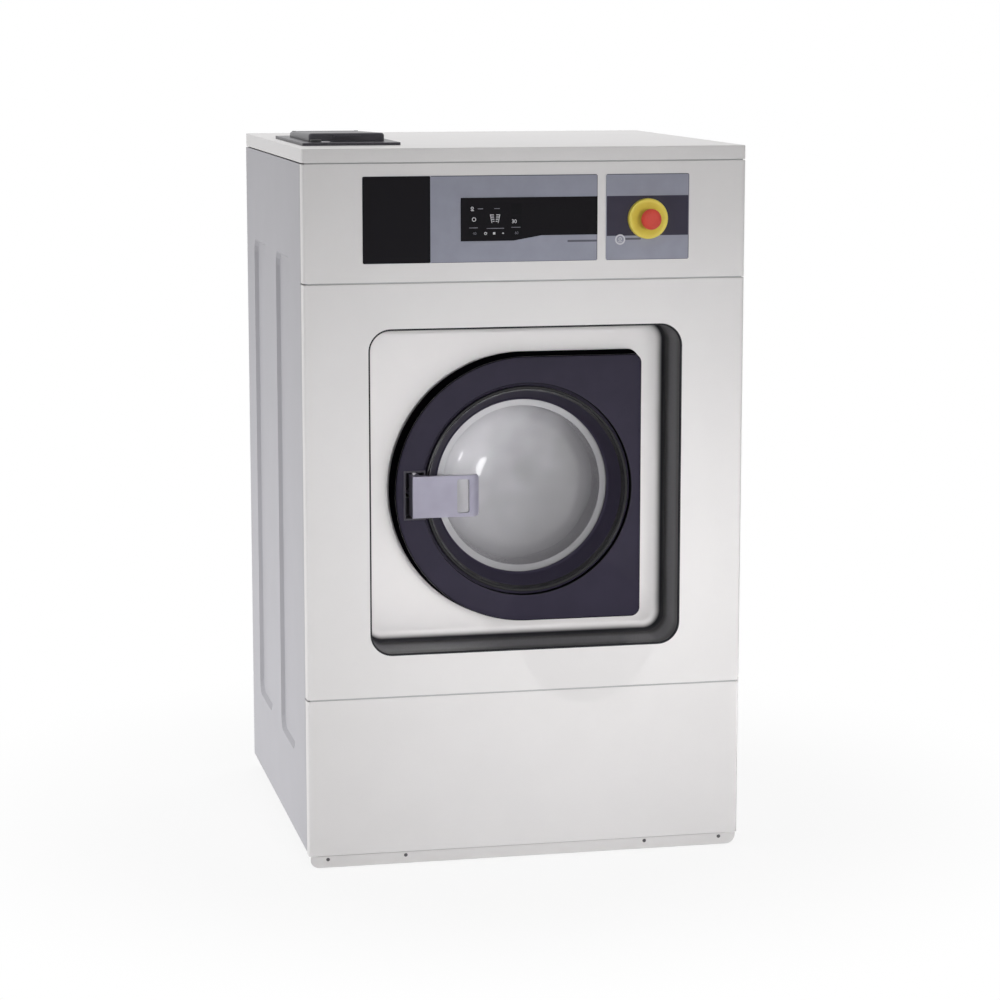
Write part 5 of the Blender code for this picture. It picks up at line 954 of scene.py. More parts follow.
def cover_outline(sizes, inset):
    """The D of the door cover about the door's axis: a half round at the left, two corners at the right."""
    radius, right, corner = sizes.radius - inset, sizes.reach - inset, sizes.corner - inset
    run = right - corner
    points = arc((0, 0), radius, pi / 2, 3 * pi / 2, MEDIUM)
    points += [(run * step / SMALL, -radius) for step in range(1, SMALL)]
    points += arc((run, corner - radius), corner, -pi / 2, 0, CORNER_STEPS)
    rise = 2 * (radius - corner)
    points += [(right, corner - radius + rise * step / SMALL) for step in range(1, SMALL)]
    points += arc((run, radius - corner), corner, 0, pi / 2, CORNER_STEPS)
    points += [(run * (1 - step / SMALL), radius) for step in range(1, SMALL)]
    return points


def about_door(points, level):
    """Points about the door's axis, set at a depth."""
    return placed([(AXIS_X + u, AXIS_Z + v) for u, v in points], "y", level)


def held_in(points, radius):
    """Points drawn in to a radius about the door's axis, where they lie outside it."""
    inside = []
    for u, v in points:
        share = min(1.0, radius / max(hypot(u, v), HAIR))
        inside.append((u * share, v * share))
    return inside


def on_circle(points, radius):
    """A circle with a point in the direction of each point."""
    angles = [atan2(v, u) for u, v in points]
    return [(radius * cos(a), radius * sin(a)) for a in angles]


class WASHER_OT_front_trim(Operator):
    """Folds the strip under the kick panel and sets the backings of the level seams"""

    bl_idname = "washer.front_trim"
    bl_label = "Front trim"

    def execute(self, context):
        sizes = context.scene.washer_trim
        colours = context.scene.washer_colours
        half = HALF_WIDTH - sizes.strip_inset
        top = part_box("kick_panel")[0].z - sizes.strip_gap
        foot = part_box("base_frame")[0].z + sizes.strip_gap
        corner = sizes.strip_corner
        outline = arc((half - corner, foot + corner), corner, -pi / 2, 0, CORNER_STEPS)
        outline += [(half, top), (-half, top)]
        outline += arc((corner - half, foot + corner), corner, pi, 3 * pi / 2, CORNER_STEPS)
        wall = sizes.strip_wall

        def lean(level):
            return FRONT_Y + sizes.strip_gap + sizes.strip_lean * (top - level) / (top - foot)

        front = [(x, lean(z), z) for x, z in outline]
        back = [(x, lean(z) + wall, z) for x, z in outline]
        steel = satin_stainless_sheet(colours)
        strip = piece("base_strip_fold", skin([back, front]), "cabinet", "panel_steel", steel)
        soften(strip, wall / 3, 2)
        backings = []
        panels = ("kick_panel", "front_panel", "fascia_panel", "top_cover")
        start = FRONT_Y + sizes.backing_depth
        reach = HALF_WIDTH - sizes.backing_inset
        for lower, upper in zip(panels, panels[1:]):
            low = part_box(lower)[1].z - sizes.backing_lap
            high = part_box(upper)[0].z + sizes.backing_lap
            backings.append(block((-reach, start, low), (reach, start + wall, high)))
        coated = finish_for("frame_steel", colours)
        piece("seam_backings", merged(*backings), "cabinet", "frame_steel", coated)
        return {"FINISHED"}


class WASHER_OT_door_cover(Operator):
    """Moulds the door's D-shaped cover and the bezel that leads to the glass"""

    bl_idname = "washer.door_cover"
    bl_label = "Door cover"

    def execute(self, context):
        sizes = context.scene.washer_door
        colours = context.scene.washer_colours
        front = FRONT_Y + sizes.front
        back = front + sizes.depth
        outline = cover_outline(sizes, 0.0)
        edge = sizes.draft + sizes.edge
        loops = [about_door(outline, back)]
        # Bands take the lighter grained tone on the face, the polished black on most of the rounds and the
        # matt black on the flanks and hidden walls: painted light and painted shade.
        looks = []
        turns = [pi / 2 * step / 6 for step in range(7)]
        for turn in turns:
            level = front + sizes.crown_step + sizes.edge * (1 - sin(turn))
            loops.append(about_door(cover_outline(sizes, edge - sizes.edge * cos(turn)), level))
            looks.append(1 if turn < pi / 3 else 0)
        looks[0], looks[-1] = 2, 0
        ring = cover_outline(sizes, edge)
        loops.append(about_door(held_in(ring, sizes.crown), front + sizes.crown_step))
        loops.append(about_door(held_in(ring, sizes.crown - 3 * sizes.crown_step), front))
        looks += [0, 0]
        rim = sizes.edge / 2
        for turn in turns:
            radius = sizes.hole + rim * (1 - sin(turn))
            loops.append(about_door(on_circle(outline, radius), front + rim * (1 - cos(turn))))
            looks.append(0 if turn < pi / 4 else 1)
        wall = sizes.wall
        loops += [
            about_door(on_circle(outline, sizes.hole), front + sizes.rim),
            about_door(on_circle(outline, sizes.hole + wall), front + sizes.rim),
            about_door(on_circle(outline, sizes.hole + wall), front + wall),
            about_door(cover_outline(sizes, edge + wall), front + wall),
            about_door(cover_outline(sizes, wall), back),
        ]
        looks += [2] * 6
        shape = skin(loops, ring=True, looks=looks)
        lit_and_shaded_abs = (lit_grain_abs(colours), shaded_gloss_abs(colours), shaded_flank_abs(colours))
        slot = "black_plastic"
        cover = piece("door_cover_moulding", shape, "door", slot, *lit_and_shaded_abs, stands_for=["door_cover"])
        low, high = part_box("handle_housing")
        pocket = (low.x - FIT, front - OVERRUN, low.z - FIT), (high.x + FIT, high.y + FIT, high.z + FIT)
        arm_low, arm_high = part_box("hinge_bracket")
        lug_inset, lug_depth, lug_half = 0.017, 0.013, 0.010
        side = AXIS_X + sizes.reach
        notches = []
        for level in (arm_low.z + lug_inset, arm_high.z - lug_inset):
            start = (side - lug_depth, front + sizes.edge, level - lug_half)
            notches.append(block(start, (side + OVERRUN, back + OVERRUN, level + lug_half)))
        carve(cover, block(*pocket), merged(*notches))
        level_shading(cover)

        outer = sizes.hole - sizes.groove
        foot = front + sizes.bezel_depth
        seat = front + sizes.rim + FIT
        set_back = 0.0015
        top = front + set_back
        steep = front + sizes.shoulder
        # The face that shows, from the outer edge in to the glass, and then the hidden side back to it
        profile = rounded_profile(
            [
                (outer, top, 0.0016),
                (outer - 0.0042, top + 0.0006, 0.0018),
                (outer - 0.0078, steep, 0.0022),
                (sizes.sight + 0.0034, foot - 0.0040, 0.0015),
                (sizes.sight, foot - 0.0020, 0.0),
                (sizes.sight, foot, 0.0),
                (sizes.sight + 0.0048, foot, 0.0),
                (outer - 0.0050, seat + 0.0060, 0.0),
                (outer - 0.0020, seat + 0.0028, 0.0),
                (sizes.hole + 0.0024, seat + 0.0028, 0.0),
                (sizes.hole + 0.0024, seat, 0.0),
                (outer, seat, 0.0),
            ]
        )
        # The funnel takes the lighter grained tone, and the lip, the steep wall and the edge at the glass
        # take the polished black: painted light on the funnel, painted shade on the steep wall.
        looks = [0 if steep < level < foot - 0.003 else 1 for radius, level in profile]
        shape = turned(profile, AXIS, "y", looks=looks)
        bezel = piece("door_bezel_moulding", shape, "door", slot, *lit_and_shaded_abs[:2], stands_for=["door_bezel"])
        carve(bezel, block(*pocket))
        return {"FINISHED"}


class WASHER_OT_door_glass(Operator):
    """Presses the glass bowl"""

    bl_idname = "washer.door_glass"
    bl_label = "Door glass"

    def execute(self, context):
        sizes = context.scene.washer_door
        colours = context.scene.washer_colours
        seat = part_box("door_glass")[0].y
        back = seat + sizes.glass_wall
        depth = sizes.bulge - sizes.glass_wall
        # A fullness of 2 would be half an ellipse, and more is a flatter floor with steeper walls.
        fullness, steps = 3.3, 24

        def bowl(radius, level):
            points = []
            for turn in [pi / 2 * step / steps for step in range(steps)]:
                wide, deep = cos(turn) ** (2 / fullness), sin(turn) ** (2 / fullness)
                points.append((radius * wide, level + depth * deep))
            return points + [(0.0, level + depth)]

        flange, chamfer = sizes.glass_radius, 0.001
        inner_throat = sizes.throat - sizes.glass_wall
        profile = [
            (flange - chamfer, seat),
            (flange, seat + chamfer),
            (flange, back - chamfer),
            (flange - chamfer, back),
            (sizes.throat + 0.003, back),
            (sizes.throat + 0.001, back + 0.0005),
        ]
        profile += bowl(sizes.throat, back) + bowl(inner_throat, seat)[::-1] + [(inner_throat + 0.002, seat)]
        shape = turned(profile, AXIS, "y")
        look = pressed_glass(colours)
        piece("glass_bowl", shape, "door", "clear_glass", look, stands_for=["door_glass"])
        return {"FINISHED"}


class WASHER_OT_door_handle(Operator):
    """Moulds the pull handle with its curled bar, its window and the lock's tongue"""

    bl_idname = "washer.door_handle"
    bl_label = "Door handle"

    def execute(self, context):
        sizes = context.scene.washer_handle
        colours = context.scene.washer_colours
        low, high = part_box("door_handle")
        look = finish_for("handle_grey", colours)
        pin_x, pin_y = middle_of("handle_pin")[:2]
        middle_z = middle_of("door_handle")[2]
        front = low.y
        back = front + sizes.wall
        end = high.x
        curl = []
        for t in [step / 12 for step in range(13)]:
            curl.append((end - sizes.bar * (1 - t), front + sizes.curl * t**2))
        # The curled end is a little thinner than the plate.
        curl_wall = sizes.wall * 0.85
        curl_back = [(x, y + curl_wall) for x, y in reversed(curl)]
        neck_side, neck_end = low.x + sizes.neck, pin_y + sizes.neck / 2
        outline = [(low.x, neck_end), (low.x, front)] + curl + curl_back
        outline += [(low.x + 2 * sizes.neck, back), (neck_side, back + sizes.wall), (neck_side, neck_end)]
        shape = prism(outline, "z", low.z, high.z)
        handle = piece("pull_handle", shape, "handle", "handle_grey", look, stands_for=["door_handle"])

        window_corner, corner = 0.004, 0.005
        half_z = (high.z - low.z) / 2 - sizes.margin
        window_x = end - sizes.bar - sizes.window / 2
        window = round_box((window_x, middle_z), sizes.window / 2, half_z, window_corner, 6, 1)
        trims = []
        for side in (-1, 1):
            at = middle_z + side * (high.z - low.z) / 2
            outline = [(end + OVERRUN, at + side * OVERRUN), (end - corner, at + side * OVERRUN)]
            outline += arc((end - corner, at - side * corner), corner, side * pi / 2, 0, 8)
            outline.append((end + OVERRUN, at - side * corner))
            trims.append(prism(outline, "y", front - OVERRUN, back + 5 * OVERRUN))
        carve(handle, prism(window, "y", front - OVERRUN, back + sizes.curl + OVERRUN), *trims)
        soften(handle, sizes.edge, least=50, harden=False)

        half, end_y, overlap = sizes.tongue_width / 2, high.y, 0.002
        root, nose = neck_end - overlap, half / 2
        tongue = [
            (pin_x - half, root),
            (pin_x + half, root),
            (pin_x + half, end_y - nose),
            (pin_x + half - nose, end_y),
            (pin_x - half + nose, end_y),
            (pin_x - half, end_y - nose),
        ]
        half_wall = sizes.tongue_wall / 2
        shape = prism(tongue, "z", middle_z - half_wall, middle_z + half_wall)
        made = piece("handle_tongue", shape, "handle", "handle_grey", look)
        bore, reach = 0.0038, 2 * sizes.tongue_wall
        bolt_hole = circle((pin_x, middle_of("lock_bolt")[1]), bore, 24)
        carve(made, prism(bolt_hole, "z", middle_z - reach, middle_z + reach))
        soften(made, SMALL_EDGE)
        return {"FINISHED"}


def flat_ring(centre, radius, wall, low, high, steps=SMALL):
    """A thin ring in the plane of the cabinet's face."""
    inner, outer = circle(centre, radius - wall, steps), circle(centre, radius, steps)
    corners = ((inner, low), (outer, low), (outer, high), (inner, high))
    return skin([placed(outline, "y", level) for outline, level in corners], ring=True)


def bar(left, right, bottom, top, low, high):
    """A flat bar in the plane of the cabinet's face."""
    return block((left, low, bottom), (right, high, top))


def digits(text, height, centre, low, high):
    """Plain figures, upright on the cabinet's face."""
    curve = bpy.data.curves.new("figures", "FONT")
    curve.body = text
    # Figures are about 1 / 1.4 as high as their letters' size.
    curve.size = height * 1.4
    curve.align_x = "CENTER"
    curve.align_y = "CENTER"
    curve.extrude = (high - low) / 2
    holder = as_object("figures", curve)
    mesh = shown_mesh(holder)
    place = Matrix.Translation((centre[0], (low + high) / 2, centre[1]))
    mesh.transform(place @ Matrix.Rotation(pi / 2, 4, "X"))
    shape = bmesh.new()
    shape.from_mesh(mesh)
    bpy.data.objects.remove(holder)
    bpy.data.curves.remove(curve)
    bpy.data.meshes.remove(mesh)
    bmesh.ops.remove_doubles(shape, verts=shape.verts, dist=HAIR / 10)
    return shape


class WASHER_OT_controls(Operator):
    """Prints the control overlays and the display with its signs"""

    bl_idname = "washer.controls"
    bl_label = "Controls"

    def execute(self, context):
        sizes = context.scene.washer_controls
        colours = context.scene.washer_colours
        self.overlays(colours, sizes)
        self.display(colours, sizes)
        frame["nodes"]["display_lens"].data.materials[0] = smoked_polycarbonate(colours)
        return {"FINISHED"}

    def overlays(self, colours, sizes):
        """The dark square, the rims, the band round the emergency stop and the ring symbol."""
        dark = polyester_foil("dark_printed_foil", colours.print_dark, 0.36)
        band = polyester_foil("band_printed_foil", colours.print_band, 0.40)
        # A darker rim along the overlays' edges; the two short lines take the same foil.
        rim = polyester_foil("darker_rim_foil", colours.overlay_rim, 0.45)
        ink = polyester_foil("pale_ink", colours.ink, 0.6)
        low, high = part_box("control_overlay_left")
        right_low, right_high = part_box("control_overlay_right")
        lens_low, lens_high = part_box("display_lens")
        face, edge = low.y, sizes.rim
        raised = face - sizes.foil
        top = raised - sizes.ink

        def field(name, left, right, bottom, upper, look, corner=0.0008):
            centre = ((left + right) / 2, (bottom + upper) / 2)
            outline = round_box(centre, (right - left) / 2, (upper - bottom) / 2, corner, 6, 1)
            return piece(name, prism(outline, "y", raised, face), "cabinet", "overlay_grey", look)

        square_end = low.x + sizes.square
        field("dark_square", low.x + HAIR, square_end, low.z + HAIR, high.z - HAIR, dark, 0.002)
        for side, start, end in (("left", square_end, high.x), ("right", right_low.x, right_high.x)):
            left, right, bottom, upper = start + edge, end - edge, low.z + edge, high.z - edge
            foot, outer = low.z + edge * 0.6, end - edge * 0.8
            field(f"overlay_top_rim_{side}", left, right, upper, high.z - HAIR, rim, 0.0004)
            field(f"overlay_foot_rim_{side}", left, right, low.z + HAIR, foot, rim, 0.0003)
            field(f"overlay_side_rim_{side}", outer, end - HAIR, bottom, upper, rim, 0.0003)
        band_top = right_high.z - sizes.band_top
        left, right, bottom = right_low.x + edge, right_high.x - edge, band_top - sizes.band_height
        around_stop = field("emergency_stop_band", left, right, bottom, band_top, band)
        stop_x, _, stop_z = middle_of("estop_collar")
        stop_bore = 0.0115
        stop_hole = circle((stop_x, stop_z), stop_bore, 32)
        carve(around_stop, prism(stop_hole, "y", raised - OVERRUN, face + OVERRUN))

        # The ring symbol stands near the right overlay's foot, with a line from it to below the stop.
        symbol_across, symbol_up, line_gap = 0.0225, 0.0312, 0.010
        x, z = right_low.x + symbol_across, right_low.z + symbol_up
        field("stop_underline", x + sizes.symbol, stop_x - line_gap, z - 0.0006, z + 0.0024, rim)
        # A short line stands under the right end of the display's window.
        line_length, line_inset, line_top, line_foot = 0.047, 0.001, 0.0005, 0.0035
        left, right = lens_high.x - line_length, lens_high.x - line_inset
        field("lens_underline", left, right, lens_low.z - line_foot, lens_low.z - line_top, rim)
        # The symbol: an outer ring, and within it a small ring over a bar
        shapes = [
            flat_ring((x, z), sizes.symbol, 0.0022, top, raised),
            flat_ring((x, z + 0.0008), 0.0026, 0.0011, top, raised, 24),
            bar(x - 0.0034, x + 0.0034, z - 0.0040, z - 0.0030, top, raised),
        ]
        piece("reset_symbol", merged(*shapes), "cabinet", "overlay_grey", ink)

    def display(self, colours, sizes):
        """Key fields, a wash basin, figures and small signs, placed from the window's lower left corner."""
        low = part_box("display_lens")[0]
        face = low.y
        printed = face - sizes.ink
        near = printed - sizes.ink

        def spot(across, up):
            return low.x + across, low.z + up

        def strip(left, right, bottom, top, front=near):
            return bar(low.x + left, low.x + right, low.z + bottom, low.z + top, front, face)

        # The key fields' columns and levels, and in the signs below the places of all that is printed
        key_left, key_right = (0.0131, 0.0295), (0.0786, 0.0950)
        keys = [
            strip(*key_right, 0.0398, 0.0564, printed),
            strip(*key_left, 0.0061, 0.0170, printed),
            strip(*key_right, 0.0061, 0.0170, printed),
            strip(*key_left, 0.0250, 0.0410, printed),
            strip(*key_right, 0.0200, 0.0370, printed),
        ]
        screen = polyester_foil("key_field_print", colours.screen, 0.25)
        piece("key_fields", merged(*keys), "cabinet", "dark_plastic", screen)

        # The basin: four rows of water in two halves, between two leaning walls
        u, v = spot(0.0532, 0.0337)
        half = 0.0072
        signs = []
        for row in range(4):
            level = v - half * 0.55 + half * 0.45 * row
            reach = half * (0.55 + 0.15 * row)
            for side in (-1, 1):
                inner, outer = sorted((side * reach * 0.25, side * reach))
                signs.append(bar(u + inner, u + outer, level - 0.0006, level + 0.0006, near, face))
        for side in (-1, 1):
            corners = ((0.62, -0.9), (0.75, -0.9), (1.1, 0.9), (0.97, 0.9))
            wall = [(u + side * half * across, v + half * up) for across, up in corners]
            signs.append(prism(wall, "y", near, face))
        signs += [
            flat_ring(spot(0.0205, 0.0329), 0.0032, 0.0010, near, face, 24),
            flat_ring(spot(0.0178, 0.0500), 0.0022, 0.0010, near, face, 20),
            flat_ring(spot(0.0385, 0.0115), 0.0022, 0.0009, near, face, 20),
            strip(0.0156, 0.0202, 0.0458, 0.0472),
            strip(0.0500, 0.0535, 0.0098, 0.0132),
            strip(0.0645, 0.0668, 0.0108, 0.0122),
            digits("30", 0.0058, spot(0.0829, 0.0290), near, face),
        ]
        ink = polyester_foil("pale_ink", colours.ink, 0.6)
        piece("display_signs", merged(*signs), "cabinet", "dark_plastic", ink)

        rows = (
            (0.0262, 0.0345, 0.0488),
            (0.0520, 0.0605, 0.0488),
            (0.0400, 0.0672, 0.0188),
            (0.0131, 0.0262, 0.0200),
            (0.0786, 0.0926, 0.0200),
        )
        lines = [strip(left, right, level - 0.0004, level + 0.0008) for left, right, level in rows]
        lines.append(digits("40", 0.0042, spot(0.0213, 0.0115), near, face))
        lines.append(digits("60", 0.0042, spot(0.0868, 0.0115), near, face))
        faint = polyester_foil("faint_ink", colours.faint_ink, 0.5)
        piece("display_lines", merged(*lines), "cabinet", "dark_plastic", faint)


class WASHER_OT_emergency_stop(Operator):
    """Turns the yellow collar and the red mushroom head"""

    bl_idname = "washer.emergency_stop"
    bl_label = "Emergency stop"

    def execute(self, context):
        sizes = context.scene.washer_stop
        colours = context.scene.washer_colours
        low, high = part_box("estop_collar")
        x, _, z = middle_of("estop_collar")
        bore = 0.0083
        collar = rounded_profile(
            [
                (bore, high.y, 0.0),
                (sizes.collar, high.y, 0.0),
                (sizes.collar, low.y, 0.0022),
                (sizes.collar - 0.0050, low.y, 0.0020),
                (sizes.waist + 0.0060, low.y + 0.0036, 0.0020),
                (bore, low.y + 0.0042, 0.0),
            ]
        )
        shape = turned(collar, (x, z), "y", MEDIUM)
        look = finish_for("signal_yellow", colours)
        piece("emergency_stop_collar", shape, "cabinet", "signal_yellow", look, stands_for=["estop_collar"])
        low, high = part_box("estop_head")
        height = high.y - low.y
        socket = high.y - 0.007
        dimple = low.y + 0.0006
        head = rounded_profile(
            [
                (bore, high.y, 0.0),
                (sizes.waist, high.y, 0.0),
                (sizes.waist + 0.001, low.y + height * 0.80, 0.002),
                (sizes.head, low.y + height * 0.62, 0.0015),
                (sizes.head, low.y + height * 0.30, 0.0030),
                (sizes.head - 0.0035, low.y, 0.0040),
                (sizes.head * 0.55, low.y, 0.0010),
                (sizes.head * 0.50, dimple, 0.0),
                (0.0, dimple, 0.0),
                (0.0, socket, 0.0),
                (bore, socket, 0.0),
            ]
        )
        shape = turned(head, (x, z), "y", MEDIUM)
        look = finish_for("signal_red", colours)
        piece("mushroom_head", shape, "stop_head", "signal_red", look, stands_for=["estop_head"])
        return {"FINISHED"}


class WASHER_OT_soap_dispenser(Operator):
    """Moulds the soap dispenser's flange, its lid and a small pale plate on the flange"""

    bl_idname = "washer.soap_dispenser"
    bl_label = "Soap dispenser"

    def execute(self, context):
        sizes = context.scene.washer_soap
        colours = context.scene.washer_colours
        look = finish_for("black_plastic", colours)
        low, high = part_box("soap_lid")
        lip_reach, hinge_reach = 0.004, 0.0090
        lid_low, top = low.z, high.z
        lid_front, lid_back = low.y + lip_reach, high.y - hinge_reach
        centre = ((low.x + high.x) / 2, (lid_front + lid_back) / 2)
        half_u, half_v = (high.x - low.x) / 2, (lid_back - lid_front) / 2
        wall = sizes.lid_wall

        def loop(level, inset, sloped=True):
            corner = max(sizes.lid_corner - inset, 0.001)
            outline = round_box(centre, half_u - inset, half_v - inset, corner)
            fall = sizes.slope / (lid_back - lid_front) if sloped else 0.0
            return [(x, y, level - fall * (y - lid_front)) for x, y in outline]

        loops = [
            loop(top - wall, wall + sizes.lid_edge),
            loop(top - 2 * wall, wall),
            loop(lid_low, wall, False),
            loop(lid_low, 0.0, False),
        ]
        for turn in [pi / 2 * step / 6 for step in range(7)]:
            loops.append(loop(top - sizes.lid_edge * (1 - sin(turn)), sizes.lid_edge * (1 - cos(turn))))
        lid = piece("soap_lid_moulding", skin(loops), "lid", "black_plastic", look, stands_for=["soap_lid"])

        # Half lengths and radii of what is moulded to the lid: its lip, the hinge's barrel and its pin
        lip_half, barrel_half, pin_half = 0.021, 0.0475, 0.0565
        barrel_radius, pin_radius, axis_rise = 0.0042, 0.002, 0.0045
        lip_foot, lip_top = lid_low + 0.0065, lid_low + 0.009
        x, flange_top = centre[0], lid_low - FIT
        axis = (high.y - barrel_radius, flange_top + axis_rise)
        lip = block((x - lip_half, low.y, lip_foot), (x + lip_half, lid_front + wall, lip_top))
        web_end = (x + barrel_half, axis[0], lid_low + axis_rise)
        web = block((x - barrel_half, lid_back - wall, lid_low), web_end)
        barrel = prism(circle(axis, barrel_radius, 24), "x", x - barrel_half, x + barrel_half)
        pin = prism(circle(axis, pin_radius, 16), "x", x - pin_half, x + pin_half)
        carve(lid, lip, web, barrel, pin, operation="UNION")

        # A small pale stainless plate lies on the flange, to the left in front of the lid.
        left, right, y, depth, thick = x - 0.047, x - 0.030, lid_front - 0.021, 0.009, 0.0012
        catch = block((left, y, flange_top), (right, y + depth, flange_top + thick))
        made = piece("flange_pale_plate", catch, "cabinet", "stainless", brushed_stainless(colours))
        soften(made, SMALL_EDGE)
        soften(frame["nodes"]["soap_hopper"], 0.0008, 2)
        return {"FINISHED"}


def screw_shape(sizes, place, way, scale=1.0):
    """A low round head with a socket, whose top looks forward for -1 and back for 1."""
    profile = [
        (0.0, 0.0),
        (sizes.head, 0.0),
        (sizes.head, sizes.height * 0.45),
        (sizes.head * 0.86, sizes.height * 0.85),
        (sizes.head * 0.62, sizes.height),
        (sizes.socket, sizes.height),
        (sizes.socket * 0.8, sizes.height * 0.4),
        (0.0, sizes.height * 0.4),
    ]
    levels = [(radius * scale, level * way) for radius, level in profile]
    shape = turned(levels, (0.0, 0.0), "y", 24)
    bmesh.ops.translate(shape, verts=shape.verts, vec=place)
    return shape


class WASHER_OT_screws(Operator):
    """Sets the screws of the base strip and of the rear panel"""

    bl_idname = "washer.screws"
    bl_label = "Screws"

    def execute(self, context):
        sizes = context.scene.washer_screws
        colours = context.scene.washer_colours
        heads = []
        for x in (-sizes.outer, -sizes.inner, sizes.inner, sizes.outer):
            heads.append(screw_shape(sizes, (x, FRONT_Y + sizes.seat, sizes.level), -1, sizes.small))
        black = moulded_plastic("blackened_screw", colours.screw, 0.35)
        piece("base_strip_screws", merged(*heads), "cabinet", "stainless", black)
        low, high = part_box("rear_panel")
        heads = []
        inset, rows = 0.012, 6
        for row in range(rows):
            z = low.z + inset + (high.z - low.z - 2 * inset) * row / (rows - 1)
            for x in (low.x + inset, high.x - inset):
                heads.append(screw_shape(sizes, (x, high.y, z), 1))
        piece("rear_panel_screws", merged(*heads), "cabinet", "stainless", brushed_stainless(colours))
        return {"FINISHED"}


class WASHER_OT_drum(Operator):
    """Forms the drum's perforated wrapper with its lifters, its front and its pressed back"""

    bl_idname = "washer.drum"
    bl_label = "Drum"

    def execute(self, context):
        sizes = context.scene.washer_drum
        colours = context.scene.washer_colours
        low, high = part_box("drum_shell")
        radius = (high.x - low.x) / 2
        wall = 0.0012
        seat = radius - wall
        steel = brushed_stainless(colours)
        turns = [pi / 2 + 2 * pi * number / sizes.lifters for number in range(sizes.lifters)]

        def off_lifter(angle):
            """The angle to the nearest lifter."""
            return min(abs((angle - turn + pi) % (2 * pi) - pi) for turn in turns)

        foot, top = sizes.lifter_foot / seat, sizes.lifter_top / seat

        def inside(angle):
            """The radius of the inner skin: round, with a smooth ridge at each lifter."""
            return seat - sizes.lifter_height * eased((foot - off_lifter(angle)) / (foot - top))

        def about_axis(reach, angle):
            return AXIS_X + reach * cos(angle), AXIS_Z + reach * sin(angle)

        steps = 3 * FINE
        angles = [2 * pi * step / steps for step in range(steps)]
        outer = [about_axis(radius, angle) for angle in angles]
        ridged = [about_axis(inside(angle), angle) for angle in angles]
        plain = [about_axis(seat, angle) for angle in angles]
        loops = [placed(outer, "y", low.y), placed(outer, "y", high.y), placed(ridged, "y", high.y)]
        # The lifters slope down to the drum's front over this depth.
        slope, rows = 0.030, 8
        for t in [row / rows for row in range(rows + 1)]:
            share = eased(t)
            blend = [(u + (p - u) * share, v + (q - v) * share) for (u, v), (p, q) in zip(ridged, plain)]
            loops.append(placed(blend, "y", low.y + HAIR + slope * (1 - t)))
        look = perforated_stainless(colours, sizes)
        shape = skin(loops, ring=True)
        piece("drum_wrapper", shape, "drum", "stainless", look, stands_for=["drum_shell"])

        low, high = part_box("drum_front")
        mouth = 0.152
        profile = rounded_profile(
            [
                (mouth, low.y + 0.001, 0.0),
                (mouth + 0.0015, low.y, 0.001),
                (mouth + 0.007, low.y + 0.006, 0.003),
                (radius, high.y - wall, 0.0),
                (radius, high.y, 0.0),
                (mouth + 0.006, low.y + 0.0072, 0.003),
                (mouth, low.y + 0.0026, 0.0),
            ]
        )
        shape = turned(profile, AXIS, "y")
        piece("drum_front_dish", shape, "drum", "stainless", steel, stands_for=["drum_front"])

        low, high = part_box("drum_back")
        rings, spokes = 30, 180
        rib_start, rib_end, rib_run, rib_half, rib_height = 0.060, 0.235, 0.02, 0.024, 0.0035
        cap_radius, cap_run, cap_height = 0.052, 0.012, 0.004

        def relief(distance, angle):
            """The depth of the ribs pressed towards the door, and of the cap at the middle."""
            along = min(1.0, max(0.0, (distance - rib_start) / rib_run))
            along *= min(1.0, max(0.0, (rib_end - distance) / rib_run))
            rib = (1 - (off_lifter(angle) * distance / rib_half) ** 2) * along
            return rib_height * eased(rib) + cap_height * eased((cap_radius - distance) / cap_run)

        loops = []
        for distance in [(radius - HAIR) * ring / rings for ring in range(1, rings + 1)]:
            loop = []
            for angle in [2 * pi * spoke / spokes for spoke in range(spokes)]:
                x, z = about_axis(distance, angle)
                loop.append((x, low.y - relief(distance, angle), z))
            loops.append(loop)
        loops.append([(x, high.y, z) for x, y, z in loops[-1]])
        hub = [(AXIS_X + (x - AXIS_X) / rings, AXIS_Z + (z - AXIS_Z) / rings) for x, y, z in loops[-1]]
        loops.append(placed(hub, "y", high.y))
        piece("drum_back_pressing", skin(loops), "drum", "stainless", steel, stands_for=["drum_back"])
        return {"FINISHED"}


class WASHER_OT_door_seal(Operator):
    """Moulds the rubber gasket between the tub's mouth and the glass"""

    bl_idname = "washer.door_seal"
    bl_label = "Door seal"

    def execute(self, context):
        colours = context.scene.washer_colours
        low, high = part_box("door_gasket")
        outer = (high.x - low.x) / 2
        grip = outer - 0.005
        lip = 0.137
        neck = high.y - 0.015
        profile = rounded_profile(
            [
                (lip, low.y + 0.0040, 0.0015),
                (lip + 0.0025, low.y, 0.0020),
                (grip, low.y + 0.0012, 0.0020),
                (outer, low.y + 0.0050, 0.0025),
                (outer - 0.0010, low.y + 0.0150, 0.0010),
                (outer, neck + 0.0030, 0.0010),
                (outer, high.y, 0.0010),
                (grip, high.y, 0.0),
                (grip, neck - 0.0003, 0.0),
                (lip + 0.0025, neck - 0.0015, 0.0010),
                (lip, low.y + 0.0100, 0.0020),
            ]
        )
        shape = turned(profile, AXIS, "y")
        look = rubber_moulding(colours)
        piece("door_seal_moulding", shape, "cabinet", "rubber", look, stands_for=["door_gasket"])
        return {"FINISHED"}


